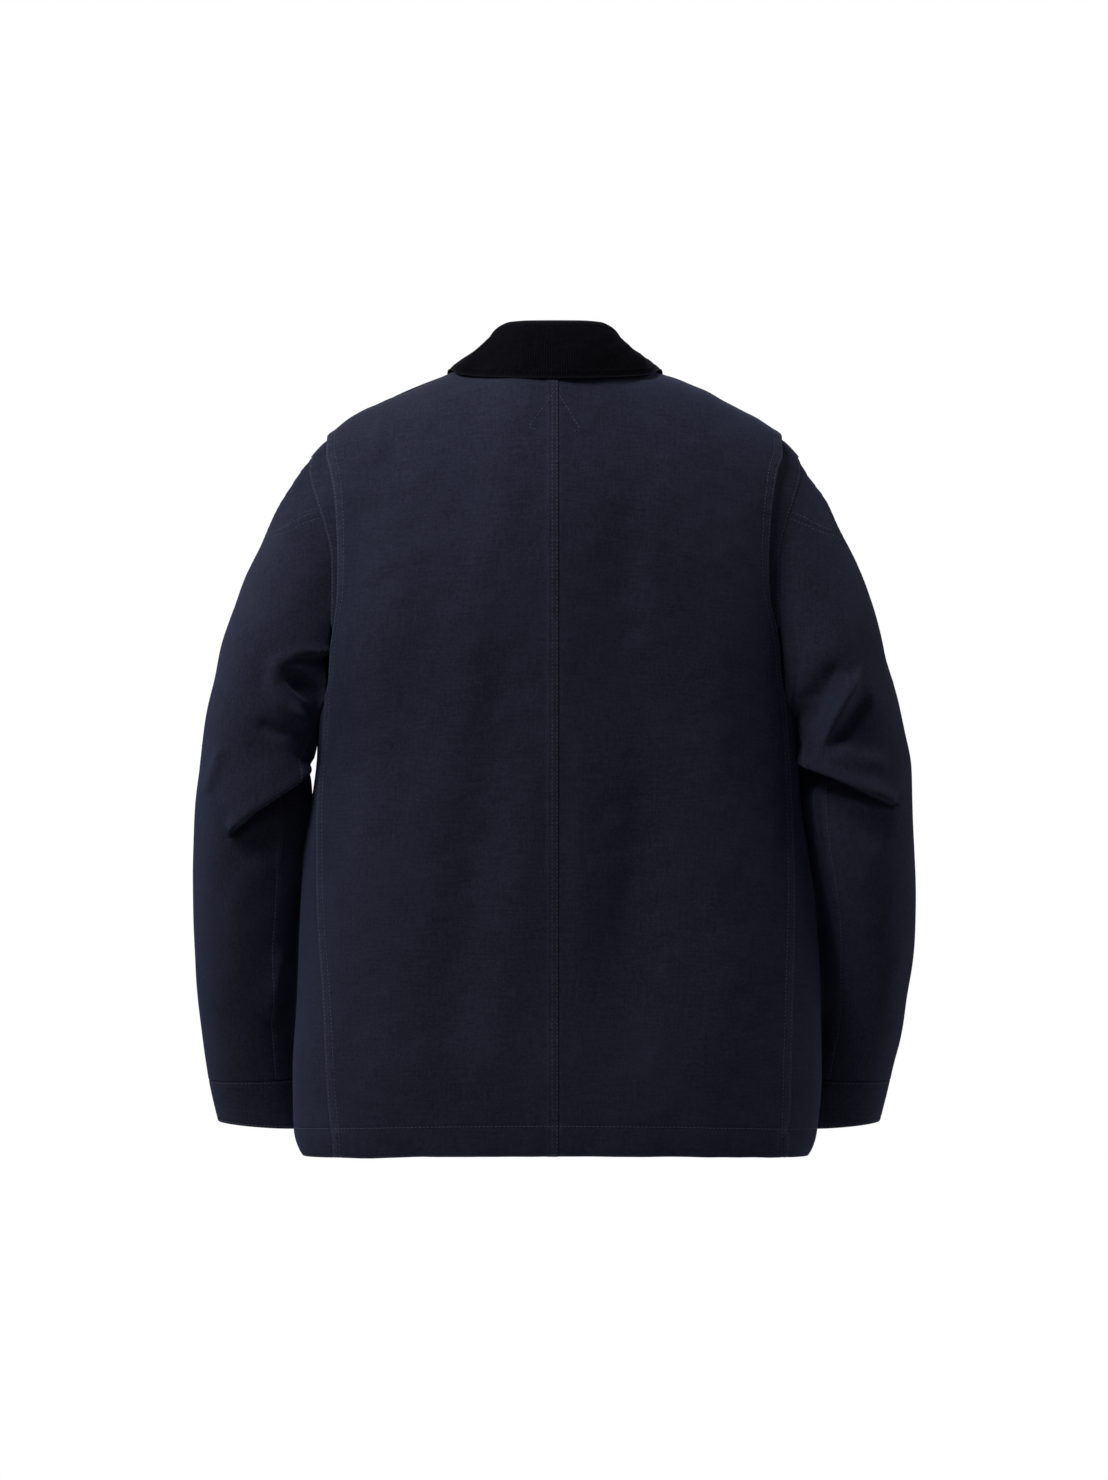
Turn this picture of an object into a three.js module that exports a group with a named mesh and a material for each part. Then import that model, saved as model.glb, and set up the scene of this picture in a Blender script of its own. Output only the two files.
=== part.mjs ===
// Chore jacket: worn, hollow form with an action-pleat back, two-piece sleeves and a corduroy collar.
// Millimetres, +Z up, the back faces -Y and the wearer's right is +X.
// The origin is the middle of the neck hole at the height of the shoulder line beside the neck.
import * as THREE from 'three';
import { mergeVertices } from 'three/addons/utils/BufferGeometryUtils.js';

// Cloth
const CLOTH = 1.8;
const HEM_WALL = 3;
const HEM_SHARE = 0.04;
const SEAM_GAP = 0.3;
const SLEEVE_GAP = 1.3;
const COLLAR_WALL = 2.2;
const CUFF_WALL = 3;

// Torso form
const SQUARENESS = 2.25;
const HEM_Z = -713;
const HEM_DIP = 7;
const UNDERARM_Z = -302;
const SCOOP_ANGLE = 112;
const SCOOP_START = 84;
const SCOOP_RISE = 30;
const SHOULDER_REACH = 290;
const NECK_HALF_WIDTH = 78;
const NECK_BACK = 62;
const NECK_FRONT = 80;
const NECK_RIDGE_Z = -5;
const NECK_RISE = 33;
const SHOULDER_SLOPE = 0.3;
const SHOULDER_DROOP = 0.0014;
const SHOULDER_TIP = 200;
const TIP_DROOP = 0.012;
const TIP_STEP = 3.5;
const BACK_ROUND = 2.5;
const FRONT_ROUND = 1.75;

// Front closure
const STRIP_GAP = 0.0028;
const LAP = 22;
const LAP_RISE = 4.4;
const LAP_EASE = 36;
const BUTTON_RADIUS = 10;
const BUTTON_HEIGHT = 3.2;
const BUTTON_TOP_Z = -120;
const BUTTON_STEP = 108;
const BUTTON_COUNT = 5;

// Action pleat
const PLEAT_DEPTH = 30;
const PLEAT_DROP = 4.4;
const PLEAT_STRIP = 2.5;
const FOLD_WALL = 3;

// Cuff
const CUFF_START = 1.001;
const CUFF_END = 1.1;
const CUFF_LAP = 24;
const CUFF_STEP = 3.8;
const CUFF_SLIT = -196;
const CUFF_BUTTON_RADIUS = 7.5;

// Pockets
const POCKET_IN = 62;
const POCKET_OUT = 192;
const POCKET_TOP_Z = -486;
const POCKET_LOW_Z = -662;
const POCKET_LIFT = 0.8;

// Turns rows of numbers into a smooth function of the first column for each named column.
function table(names, rows) {
  const columns = {};
  names.split(' ').forEach((name, index) => {
    if (index > 0) {
      columns[name] = spline(rows.map((row) => row[0]), rows.map((row) => row[index]));
    }
  });
  return columns;
}

// A monotone cubic through the knots, held level past both ends.
function spline(xs, ys) {
  const last = xs.length - 1;
  const slopes = [];
  for (let i = 0; i < last; i += 1) {
    slopes.push((ys[i + 1] - ys[i]) / (xs[i + 1] - xs[i]));
  }
  const tangent = (i) => {
    if (i === 0) {
      return slopes[0];
    }
    if (i === last) {
      return slopes[last - 1];
    }
    const product = slopes[i - 1] * slopes[i];
    return product <= 0 ? 0 : (2 * product) / (slopes[i - 1] + slopes[i]);
  };
  return (x) => {
    const at = Math.min(Math.max(x, xs[0]), xs[last]);
    let i = 0;
    while (i < last - 1 && at > xs[i + 1]) {
      i += 1;
    }
    const step = xs[i + 1] - xs[i];
    const t = (at - xs[i]) / step;
    const a = (1 + 2 * t) * (1 - t) ** 2 * ys[i] + t * t * (3 - 2 * t) * ys[i + 1];
    return a + step * (t * (1 - t) ** 2 * tangent(i) - t * t * (1 - t) * tangent(i + 1));
  };
}

const clamp = (x, low, high) => Math.min(Math.max(x, low), high);
const mix = (a, b, t) => a + (b - a) * t;
const RAD = Math.PI / 180;

function ease(from, to, x) {
  const t = clamp((x - from) / (to - from), 0, 1);
  return t * t * (3 - 2 * t);
}

const range = (count) => Array.from({ length: count + 1 }, (_, i) => i / count);

// Half widths of each side and depths of the back and front, from the hem up.
const BODY = table('z left right back front', [
  [-716, 225, 226, 109, 115],
  [-706, 231, 232, 111, 117],
  [-690, 235, 236, 112, 118],
  [-640, 236, 240, 112, 120],
  [-570, 232, 239, 109, 121],
  [-490, 229, 234, 106, 121],
  [-435, 225, 227, 106, 122],
  [-395, 219, 221, 107, 123],
  [-350, 213, 217, 109, 124],
  [-300, 213, 214, 112, 124],
  [-214, 213, 213, 117, 121],
  [-177, 216, 216, 118, 118],
  [-149, 223, 223, 117, 114],
  [-122, 232, 232, 115, 110],
  [-98, 240, 240, 112, 106],
  [-60, 246, 246, 107, 102],
  [60, 246, 246, 104, 96],
]);

// Where each side's seam, pleat fold and armhole lie across the body, from the hem up.
const SEAMS = table('z seamLeft seamRight foldLeft foldRight armBack armFront', [
  [-716, 197, 208, 197, 208, 206, 203.5],
  [-640, 203.5, 210, 203.5, 210, 206, 203.5],
  [-570, 207, 212, 207, 212, 206, 203.5],
  [-485, 209.5, 214, 209.5, 214, 206, 203.5],
  [-415, 210.5, 212, 210.5, 212, 206, 203.5],
  [-376, 209, 210.5, 209, 210.5, 206, 203.5],
  [-330, 207, 208, 207, 208, 206, 203.5],
  [-302, 206, 206, 206, 206, 206, 203.5],
  [-290, 206, 206, 203, 203, 205.5, 203.5],
  [-272, 206, 206, 202, 202, 204.5, 203.5],
  [-258, 206, 206, 201, 201, 203.2, 197.5],
  [-240, 206, 206, 198.5, 198, 201.5, 189],
  [-214, 206, 206, 195, 192, 200, 183],
  [-178, 206, 206, 194, 190.5, 200, 181],
  [-149, 206, 206, 195, 192, 206, 187],
  [-122, 206, 206, 197, 195, 215, 198],
  [-110, 206, 206, 199, 197, 220, 206],
  [-98, 206, 206, 201.5, 199.5, 223, 215],
  [-84, 206, 206, 205, 204, 221, 221],
  [60, 206, 206, 205, 204, 221, 221],
]);

// Outer and inner outline of the sleeves, the middle of their depth and half of it, down the arm.
const SLEEVE = table('s outLeft outRight outZ inLeft inRight inZ middle depth', [
  [0, 222, 222, -86, 213, 214, -302, 14, 62],
  [0.06, 235, 232, -104, 213.7, 215.4, -308, 12, 63],
  [0.12, 251.5, 249.5, -131, 213.9, 216, -314, 10, 65],
  [0.2, 266, 264, -164, 214, 216.4, -322, 8, 66],
  [0.3, 284, 282.5, -208, 214.4, 217, -332, 6, 66],
  [0.4, 300, 295, -254, 216.5, 218.2, -345, 5, 65],
  [0.5, 312, 309.5, -306, 219.8, 219.5, -363, 6, 63],
  [0.6, 321, 320.5, -364, 220.5, 222.6, -394, 9, 60],
  [0.7, 326.5, 324.5, -432, 227, 228.6, -446, 18, 57],
  [0.8, 328, 327, -505, 230.5, 236, -510, 34, 54],
  [0.9, 325, 320.5, -578, 234, 238, -577, 55, 53],
  [1, 317, 307, -650, 230, 228, -648, 76, 51],
  [1.1, 309, 298, -689, 226, 223, -695, 85, 49],
]);

// Seams of the two-piece sleeve as angles in degrees from the outer edge, turning to the front.
const SLEEVE_SEAMS = table('s outer inner', [
  [0, -47, -176],
  [0.1, -30, -175.5],
  [0.2, -4, -171],
  [0.35, 10, -156],
  [0.6, 14, -135],
  [0.8, 14, -126],
  [1, 14, -121],
]);

// Largest folds of the sleeves as seen from behind: two ends, height out of the cloth, half width.
const FOLD_NAMES = ['side', 'x0', 'z0', 'x1', 'z1', 'height', 'width'];
const FOLDS = [
  [-1, 222, -348, 292, -408, 6, 26],
  [-1, 226, -392, 280, -450, -6, 24],
  [-1, 249, -290, 232, -330, 3, 22],
  [-1, 244, -530, 262, -592, 2.5, 22],
  [1, 222, -346, 306, -396, 6, 26],
  [1, 232, -388, 296, -432, -6, 24],
  [1, 272, -282, 250, -330, 3.5, 22],
  [1, 262, -460, 292, -515, 2.5, 22],
].map((row) => Object.fromEntries(FOLD_NAMES.map((name, i) => [name, row[i]])));

// Collar by angle from the centre back: middle of the roll, and where the fall's edge lies in plan.
const COLLAR = table('angle rollX rollY rollZ edgeX edgeY', [
  [0, 0, -57, 31, 0, -80],
  [18, 22, -54, 31, 30, -76],
  [36, 39, -44, 30.5, 55, -62],
  [54, 50, -28, 26, 76, -42],
  [72, 56.5, -8, 17, 89, -16],
  [90, 59.5, 12, 6, 95, 12],
  [108, 60, 32, -12, 93, 38],
  [126, 55, 50, -32, 84, 60],
  [144, 42, 66, -52, 71, 79],
  [162, 22, 78, -67, 54, 92],
]);
const COLLAR_END = 162;
const ROLL_RADIUS = 4.2;
const STAND_TOP = 0.297;
const STAND_INSET = 4;
const STAND_TUCK = 4;
const FALL_BULGE = 2.2;
const FALL_LIFT = 0.8;

// Height of the shoulder line, or of its run on above the neck hole, at a distance from the centre.
function ridge(x) {
  const d = Math.abs(x) - NECK_HALF_WIDTH;
  if (d > 0) {
    const tip = Math.max(0, Math.abs(x) - SHOULDER_TIP);
    return NECK_RIDGE_Z - SHOULDER_SLOPE * d - SHOULDER_DROOP * d * d - TIP_DROOP * tip * tip;
  }
  const share = 1 - (x / NECK_HALF_WIDTH) ** 2;
  return NECK_RIDGE_Z + (SHOULDER_SLOPE * NECK_HALF_WIDTH / 2) * share + NECK_RISE * share ** 2;
}

const halfWidth = (side, z) => (side < 0 ? BODY.left(z) : BODY.right(z));

// A point of the torso at an angle from the centre back, 180 being the centre front.
function torso(side, angle, z) {
  const sine = Math.sin(angle);
  const cosine = Math.cos(angle);
  const sum = Math.abs(sine) ** SQUARENESS + Math.abs(cosine) ** SQUARENESS;
  const scale = sum ** (-1 / SQUARENESS);
  const x = halfWidth(side, z) * sine * scale;
  const isBack = cosine > 0;
  const drop = clamp((ridge(x) - z) / SHOULDER_REACH, 0, 1);
  const power = isBack ? BACK_ROUND : FRONT_ROUND;
  const round = (1 - (1 - drop) ** power) ** (1 / power);
  const depth = isBack ? BODY.back(z) : BODY.front(z);
  return new THREE.Vector3(side * x, -depth * cosine * scale * round, z);
}

// The torso angle at which the surface is a given distance from the centre.
function angleAt(side, x, z, isFront) {
  const r = clamp(Math.abs(x) / halfWidth(side, z), 0, 0.9999);
  const angle = Math.atan2(r, (1 - r ** SQUARENESS) ** (1 / SQUARENESS));
  const turned = isFront ? Math.PI - angle : angle;
  return x < 0 ? 2 * Math.PI - turned : turned;
}

const sideEdge = (side, z) => (side < 0 ? SEAMS.seamLeft(z) : SEAMS.seamRight(z));
const foldEdge = (side, z) => (side < 0 ? SEAMS.foldLeft(z) : SEAMS.foldRight(z));
const hemZ = (angle) => HEM_Z + HEM_DIP * Math.max(0, Math.cos(angle)) ** 2;

function backEdge(side, z) {
  return angleAt(side, z < UNDERARM_Z ? sideEdge(side, z) : foldEdge(side, z), z, false);
}

// The bottom of the armhole between the side seam and the front of the arm.
function scoopZ(angle) {
  const share = clamp((angle / RAD - SCOOP_START) / (SCOOP_ANGLE - SCOOP_START), 0, 1);
  return UNDERARM_Z + SCOOP_RISE * share ** 2;
}

// The height at a share of the way from the hem to the shoulder line, for an angle that varies.
function settle(side, angleOf, v) {
  let z = mix(HEM_Z, -40, v);
  for (let turn = 0; turn < 10; turn += 1) {
    const angle = angleOf(z);
    z = mix(hemZ(angle), ridge(torso(side, angle, z).x), v);
  }
  return z;
}

const torsoAt = (side, angleOf, v) => {
  const z = settle(side, angleOf, v);
  return torso(side, angleOf(z), z);
};

const inNeck = (p) => {
  const reach = p.y < 0 ? NECK_BACK : NECK_FRONT;
  return (p.x / NECK_HALF_WIDTH) ** 2 + (p.y / reach) ** 2 < 1;
};

// The lowest value between two for which a test holds.
function firstWhere(low, high, test) {
  let a = low;
  let b = high;
  for (let turn = 0; turn < 24; turn += 1) {
    const middle = (a + b) / 2;
    if (test(middle)) {
      b = middle;
    } else {
      a = middle;
    }
  }
  return b;
}

// The highest row of a column: the shoulder line, or the neck edge below it.
function topOf(side, angleOf) {
  if (!inNeck(torsoAt(side, angleOf, 1))) {
    return 1;
  }
  return firstWhere(0.6, 1, (v) => inNeck(torsoAt(side, angleOf, v)));
}

// A panel of the torso: across from one edge to the other, and from the hem to its top.
function panel(side, isFront, angleAcross) {
  const tops = new Map();
  const gap = SEAM_GAP / 2;
  return (u, v) => {
    const angleOf = (z) => angleAcross(u, z);
    if (!tops.has(u)) {
      tops.set(u, topOf(side, angleOf));
    }
    const point = torsoAt(side, angleOf, v * tops.get(u));
    if (v > 0.9) {
      point.y = isFront ? Math.max(point.y, gap) : Math.min(point.y, -gap);
    }
    return point;
  };
}

// The outward direction of the torso at a point of it.
function torsoNormal(side, p) {
  const z = Math.min(p.z, ridge(p.x) - 0.4);
  const angle = angleAt(side, side * p.x, z, p.y > 0);
  const along = torso(side, angle + 0.01, z).sub(torso(side, angle - 0.01, z));
  const up = torso(side, angle, z + 0.3).sub(torso(side, angle, z - 0.3));
  return along.cross(up).normalize().multiplyScalar(side);
}

// The outward direction of a surface of two parameters, from points a little way each side.
function normalOf(surface, u, v, sign, e = 0.002) {
  const along = surface(u + e, v).sub(surface(u - e, v));
  const up = surface(u, v + e).sub(surface(u, v - e));
  return along.cross(up).normalize().multiplyScalar(sign);
}

// A closed wall on a surface: the surface is its outer face, and its thickness goes inward.
function wall(name, look, surface, us, vs, sign, shape = {}) {
  const thickness = shape.thickness ?? (() => CLOTH);
  const offset = shape.offset ?? (() => 0);
  const columns = us.length;
  const outer = [];
  const inner = [];
  for (const v of vs) {
    for (const u of us) {
      const uIn = clamp(u, us[0] + 1e-3, us[columns - 1] - 1e-3);
      const vIn = clamp(v, vs[0] + 1e-3, vs[vs.length - 1] - 1e-3);
      const p = surface(u, v);
      const n = shape.normal ? shape.normal(p) : normalOf(surface, uIn, vIn, sign, shape.reach);
      if (Math.abs(p.y) < SEAM_GAP) {
        n.setY(0).normalize();
      }
      if (Math.abs(p.x) < SEAM_GAP) {
        n.setX(0).normalize();
      }
      p.addScaledVector(n, offset(u, v, p));
      outer.push(p);
      inner.push(p.clone().addScaledVector(n, -thickness(u, v, p)));
    }
  }
  const faces = [];
  const edges = new Map();
  const base = outer.length;
  const addQuad = (corners) => {
    const [a, b, c, d] = sign < 0 ? [...corners].reverse() : corners;
    if (outer[a].distanceTo(outer[c]) <= outer[b].distanceTo(outer[d])) {
      faces.push(a, b, c, a, c, d);
      faces.push(base + a, base + c, base + b, base + a, base + d, base + c);
    } else {
      faces.push(a, b, d, b, c, d);
      faces.push(base + a, base + d, base + b, base + b, base + d, base + c);
    }
    for (const [from, to] of [[a, b], [b, c], [c, d], [d, a]]) {
      if (!edges.delete(`${to} ${from}`)) {
        edges.set(`${from} ${to}`, [from, to]);
      }
    }
  };
  for (let j = 0; j < vs.length - 1; j += 1) {
    for (let i = 0; i < columns - 1; i += 1) {
      const a = j * columns + i;
      addQuad([a, a + 1, a + columns + 1, a + columns]);
    }
  }
  for (const [from, to] of edges.values()) {
    faces.push(from, base + from, base + to, from, base + to, to);
  }
  return solid(name, look, [...outer, ...inner], faces);
}

// A mesh of the points that its faces use.
function solid(name, look, points, faces) {
  const used = [...new Set(faces)].sort((a, b) => a - b);
  const place = new Map(used.map((old, index) => [old, index]));
  const geometry = new THREE.BufferGeometry();
  const numbers = used.flatMap((index) => points[index].toArray());
  geometry.setAttribute('position', new THREE.Float32BufferAttribute(numbers, 3));
  geometry.setIndex(faces.map((index) => place.get(index)));
  geometry.computeVertexNormals();
  const mesh = new THREE.Mesh(geometry, look);
  mesh.name = name;
  return mesh;
}

const canvas = () => new THREE.MeshStandardMaterial({ color: 0x1d1e29, roughness: 0.95, metalness: 0 });
const corduroy = () => new THREE.MeshStandardMaterial({ color: 0x0b0a0f, roughness: 0.9, metalness: 0 });
const horn = () => new THREE.MeshStandardMaterial({ color: 0x15151a, roughness: 0.45, metalness: 0 });

const group = new THREE.Group();

// Heights as shares of a column, closer together at the hem, by the underarm and over the shoulder.
const SCOOP_ROW = 0.68;
const PANEL_ROWS = [
  ...[0, 0.038, 0.042, 0.1, 0.17, 0.24, 0.31, 0.38, 0.44, 0.5, 0.56, 0.61, 0.645, SCOOP_ROW],
  ...[0.71, 0.75, 0.79, 0.83],
  ...range(7).map((step) => 1 - 0.13 * (1 - step) ** 2.4),
];

function backPanel(side) {
  const main = panel(side, false, (u, z) => {
    const start = SEAM_GAP / 2 / halfWidth(side, z);
    return mix(start, backEdge(side, z) - 0.001, u);
  });
  const surface = (u, v) => {
    const level = mix(SCOOP_ROW, (UNDERARM_Z - HEM_Z) / (ridge(sideEdge(side, UNDERARM_Z)) - HEM_Z), u);
    return main(u, v < SCOOP_ROW ? v * level / SCOOP_ROW : mix(1, level, (1 - v) / (1 - SCOOP_ROW)));
  };
  const thickness = (u, v) => {
    const fold = v > 0.65 && u > 0.9 ? FOLD_WALL : CLOTH;
    return v < HEM_SHARE ? HEM_WALL : fold;
  };
  const us = [0, 0.09, 0.17, 0.24, 0.3, 0.338, 0.41, 0.5, 0.59, 0.68, 0.77, 0.85, 0.91, 0.955, 1];
  const name = side < 0 ? 'back_left' : 'back_right';
  const normal = (p) => torsoNormal(side, p);
  return wall(name, canvas(), surface, us, PANEL_ROWS, side, { thickness, normal });
}

const FRONT_COLUMNS = [0, 0.1, 0.2, 0.31, 0.42, 0.52, 0.6, 0.65, 0.68, 0.72, 0.78, 0.85, 0.92, 1];

function frontSurface(side) {
  const armAngle = (z) => {
    const isArmhole = z > UNDERARM_Z + SCOOP_RISE;
    return isArmhole ? angleAt(side, SEAMS.armFront(z), z, true) : SCOOP_ANGLE * RAD;
  };
  return panel(side, true, (w, z) => mix(armAngle(z), angleAt(side, -LAP, z, true), w));
}

// The part of the front that lies under the arm, up to the bottom of the armhole.
function stripSurface(side) {
  const main = frontSurface(side);
  const top = main(0, SCOOP_ROW).z;
  return (u, v) => {
    const share = (main(0, v).z - HEM_Z) / (top - HEM_Z);
    let z = mix(HEM_Z, UNDERARM_Z, share);
    let angle = 0;
    for (let turn = 0; turn < 10; turn += 1) {
      const seam = angleAt(side, sideEdge(side, z), z, false) + 0.001;
      angle = mix(seam, SCOOP_ANGLE * RAD - STRIP_GAP, u);
      z = mix(hemZ(angle), scoopZ(angle), share);
    }
    return torso(side, angle, z);
  };
}

// How far the front and the gusset lie below the back panel's corner at the tip of the shoulder.
function tipStep(p) {
  return TIP_STEP * ease(SHOULDER_TIP - 14, SHOULDER_TIP + 4, Math.abs(p.x)) * ease(-130, -96, p.z);
}

const lapRise = (side, x) => (side < 0 ? LAP_RISE * ease(-LAP - LAP_EASE, -LAP - 2, x) : 0);

const hemThickness = (u, v) => (v < HEM_SHARE ? HEM_WALL : CLOTH);

function frontPanel(side) {
  const shape = {
    thickness: hemThickness,
    normal: (p) => torsoNormal(side, p),
    offset: (u, v, p) => lapRise(side, p.x) - tipStep(p),
  };
  const name = side < 0 ? 'front_left' : 'front_right';
  return wall(name, canvas(), frontSurface(side), FRONT_COLUMNS, PANEL_ROWS, side, shape);
}

function frontStrip(side) {
  const shape = { thickness: hemThickness, normal: (p) => torsoNormal(side, p) };
  const name = side < 0 ? 'front_strip_left' : 'front_strip_right';
  const vs = PANEL_ROWS.filter((v) => v <= SCOOP_ROW);
  return wall(name, canvas(), stripSurface(side), range(5), vs, side, shape);
}

// The strip behind the pleat fold: from the armhole in under the back panel.
function gusset(side) {
  const surface = (u, v) => {
    let z = mix(UNDERARM_Z, -80, v);
    let x = 0;
    for (let turn = 0; turn < 10; turn += 1) {
      const arm = SEAMS.armBack(z) - SLEEVE_GAP;
      const fold = Math.min(foldEdge(side, z) + 0.5, arm - PLEAT_STRIP);
      x = u < 0.4 ? mix(arm, fold, u / 0.4) : mix(fold, fold - PLEAT_DEPTH, (u - 0.4) / 0.6);
      z = mix(UNDERARM_Z + 4, ridge(x) - 0.5, v);
    }
    const point = torso(side, angleAt(side, x, z, false), z);
    point.y = Math.min(point.y, -SEAM_GAP / 2);
    return point;
  };
  const shape = {
    thickness: () => CLOTH - 0.2,
    normal: (p) => torsoNormal(side, p),
    offset: (u, v, p) => {
      const drop = Math.max(ease(0, 0.4, u), ease(UNDERARM_Z + 70, UNDERARM_Z + 56, p.z));
      return -PLEAT_DROP * drop - tipStep(p) * ease(1, 0, u);
    },
  };
  const vs = range(12).map((step) => 1 - (1 - step) ** 1.5);
  const name = side < 0 ? 'gusset_left' : 'gusset_right';
  return wall(name, canvas(), surface, [0, 0.13, 0.27, 0.4, 0.7, 1], vs, -side, shape);
}

// The armhole as two evenly spaced runs of points, over the back and over the front, from the top.
function armhole(side, isFront) {
  const path = [];
  const topZ = ridge(SEAMS.armBack(0)) - 0.4;
  const lowZ = isFront ? UNDERARM_Z + SCOOP_RISE : UNDERARM_Z;
  for (const step of range(18)) {
    const z = mix(topZ, lowZ, 1 - (1 - step) ** 2 * 0.5 - (1 - step) * 0.5);
    const x = isFront ? SEAMS.armFront(z) : SEAMS.armBack(z);
    const point = torso(side, angleAt(side, x, z, isFront), z);
    path.push(point.addScaledVector(torsoNormal(side, point), -tipStep(point)));
  }
  const from = isFront ? SCOOP_ANGLE : angleAt(side, SEAMS.armBack(UNDERARM_Z), UNDERARM_Z, false) / RAD;
  for (const step of range(5).slice(1)) {
    const angle = mix(from, 89, step) * RAD;
    path.push(torso(side, angle, scoopZ(angle)));
  }
  const run = new THREE.CatmullRomCurve3(path);
  run.arcLengthDivisions = 400;
  return (share) => run.getPointAt(clamp(share, 0, 1));
}

function foldHeight(side, p) {
  let height = 0;
  for (const fold of FOLDS) {
    if (fold.side === side) {
      const dx = fold.x1 - fold.x0;
      const dz = fold.z1 - fold.z0;
      const x = Math.abs(p.x) - fold.x0;
      const t = clamp((x * dx + (p.z - fold.z0) * dz) / (dx * dx + dz * dz), 0, 1);
      const away = Math.hypot(x - t * dx, p.z - fold.z0 - t * dz) / fold.width;
      height += fold.height * Math.exp(-2 * away * away);
    }
  }
  return height;
}

// A sleeve: around from the outer edge over the front in degrees, and down the arm from 0 to 1.
function sleeveSurface(side) {
  const runs = [armhole(side, false), armhole(side, true)];
  const isLeft = side < 0;
  const ring = (angle, s) => {
    const out = isLeft ? SLEEVE.outLeft(s) : SLEEVE.outRight(s);
    const inside = isLeft ? SLEEVE.inLeft(s) : SLEEVE.inRight(s);
    const across = Math.cos(angle * RAD);
    const x = mix(inside, out, (1 + across) / 2);
    const z = mix(SLEEVE.inZ(s), SLEEVE.outZ(s), (1 + across) / 2);
    return new THREE.Vector3(side * x, SLEEVE.middle(s) + SLEEVE.depth(s) * Math.sin(angle * RAD), z);
  };
  return (angle, s) => {
    const turn = ((angle + 540) % 360) - 180;
    const p = ring(angle, s);
    const start = runs[turn < 0 ? 0 : 1](Math.abs(turn) / 180);
    start.x += side * SLEEVE_GAP;
    start.z += SLEEVE_GAP * ease(95, 140, Math.abs(turn));
    const fade = 1 - ease(0, 0.3, s);
    p.addScaledVector(start.sub(ring(angle, 0)), fade);
    return p;
  };
}

const UPPER_ROWS = [0, 0.03, 0.065, 0.1, 0.145, 0.2, 0.27, 0.34, 0.41, 0.47, 0.519];
const LOWER_ROWS = [0.52, 0.56, 0.6, 0.64, 0.68, 0.73, 0.79, 0.86, 0.93, 1];

// The back or the front piece of a sleeve, over the rows given.
function sleeve(name, side, isBack, rows) {
  const around = sleeveSurface(side);
  const surface = (u, s) => {
    const gap = 0.16 + 0.5 * ease(0.12, 0, s);
    const outer = SLEEVE_SEAMS.outer(s);
    const inner = SLEEVE_SEAMS.inner(s);
    const angle = isBack ? mix(inner + gap, outer - gap, u) : mix(outer + gap, 360 + inner - gap, u);
    return around(angle, s);
  };
  const offset = (u, s, p) => {
    const middle = SLEEVE.middle(s);
    const facing = clamp((middle - p.y) / 30, 0, 1);
    return foldHeight(side, p) * facing * ease(1, 0.93, s);
  };
  const shape = { offset, reach: isBack ? 0.05 : 0.002 };
  return wall(name, canvas(), surface, range(isBack ? 8 : 14), rows, -side, shape);
}

function sleevePieces(side) {
  const word = side < 0 ? 'left' : 'right';
  return [
    sleeve(`sleeve_back_${word}`, side, true, [...UPPER_ROWS.slice(0, -1), ...LOWER_ROWS]),
    sleeve(`sleeve_front_${word}`, side, false, UPPER_ROWS),
    sleeve(`sleeve_front_lower_${word}`, side, false, LOWER_ROWS),
  ];
}

function cuff(side) {
  const around = sleeveSurface(side);
  const full = 360 + CUFF_LAP;
  const surface = (u, v) => {
    return around(CUFF_SLIT - CUFF_LAP / 2 + full * u, mix(CUFF_START, CUFF_END, v));
  };
  const shape = {
    thickness: () => CUFF_WALL,
    offset: (u) => CUFF_STEP * ease(0.72, 0.92, u),
  };
  const name = side < 0 ? 'cuff_left' : 'cuff_right';
  return wall(name, canvas(), surface, range(30), range(2), -side, shape);
}

// A round button lying on a surface point.
function button(name, point, normal, radius) {
  const outline = [
    [0, 0],
    [radius * 0.9, 0],
    [radius, 0.8],
    [radius, BUTTON_HEIGHT - 0.8],
    [radius * 0.86, BUTTON_HEIGHT],
    [radius * 0.7, BUTTON_HEIGHT - 0.7],
    [0, BUTTON_HEIGHT - 0.7],
  ];
  const turned = new THREE.LatheGeometry(outline.map(([x, y]) => new THREE.Vector2(x, y)), 14);
  const mesh = new THREE.Mesh(mergeVertices(turned.deleteAttribute('uv').deleteAttribute('normal')), horn());
  mesh.name = name;
  mesh.quaternion.setFromUnitVectors(new THREE.Vector3(0, 1, 0), normal);
  mesh.position.copy(point).addScaledVector(normal, SEAM_GAP);
  return mesh;
}

function frontButton(index) {
  const z = BUTTON_TOP_Z - index * BUTTON_STEP;
  const point = torso(-1, Math.PI, z);
  const normal = torsoNormal(-1, point).setX(0).normalize();
  point.addScaledVector(normal, LAP_RISE);
  return button(`button_${index + 1}`, point, normal, BUTTON_RADIUS);
}

function cuffButton(side) {
  const around = sleeveSurface(side);
  const surface = (u, v) => around(u * 360, v);
  const u = (CUFF_SLIT + CUFF_LAP / 2 - 8) / 360;
  const s = mix(CUFF_START, CUFF_END, 0.5);
  const normal = normalOf(surface, u, s, -side);
  const point = surface(u, s).addScaledVector(normal, CUFF_STEP);
  return button(`cuff_button_${side < 0 ? 'left' : 'right'}`, point, normal, CUFF_BUTTON_RADIUS);
}

// A patch pocket made from the front's own surface, moved out.
function pocket(side) {
  const surface = (u, v) => {
    const z = mix(POCKET_LOW_Z, POCKET_TOP_Z, v);
    return torso(side, angleAt(side, mix(POCKET_OUT, POCKET_IN, u), z, true), z);
  };
  const shape = {
    normal: (p) => torsoNormal(side, p),
    offset: () => POCKET_LIFT + CLOTH,
  };
  const name = side < 0 ? 'pocket_left' : 'pocket_right';
  return wall(name, canvas(), surface, range(8), range(6), side, shape);
}

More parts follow.
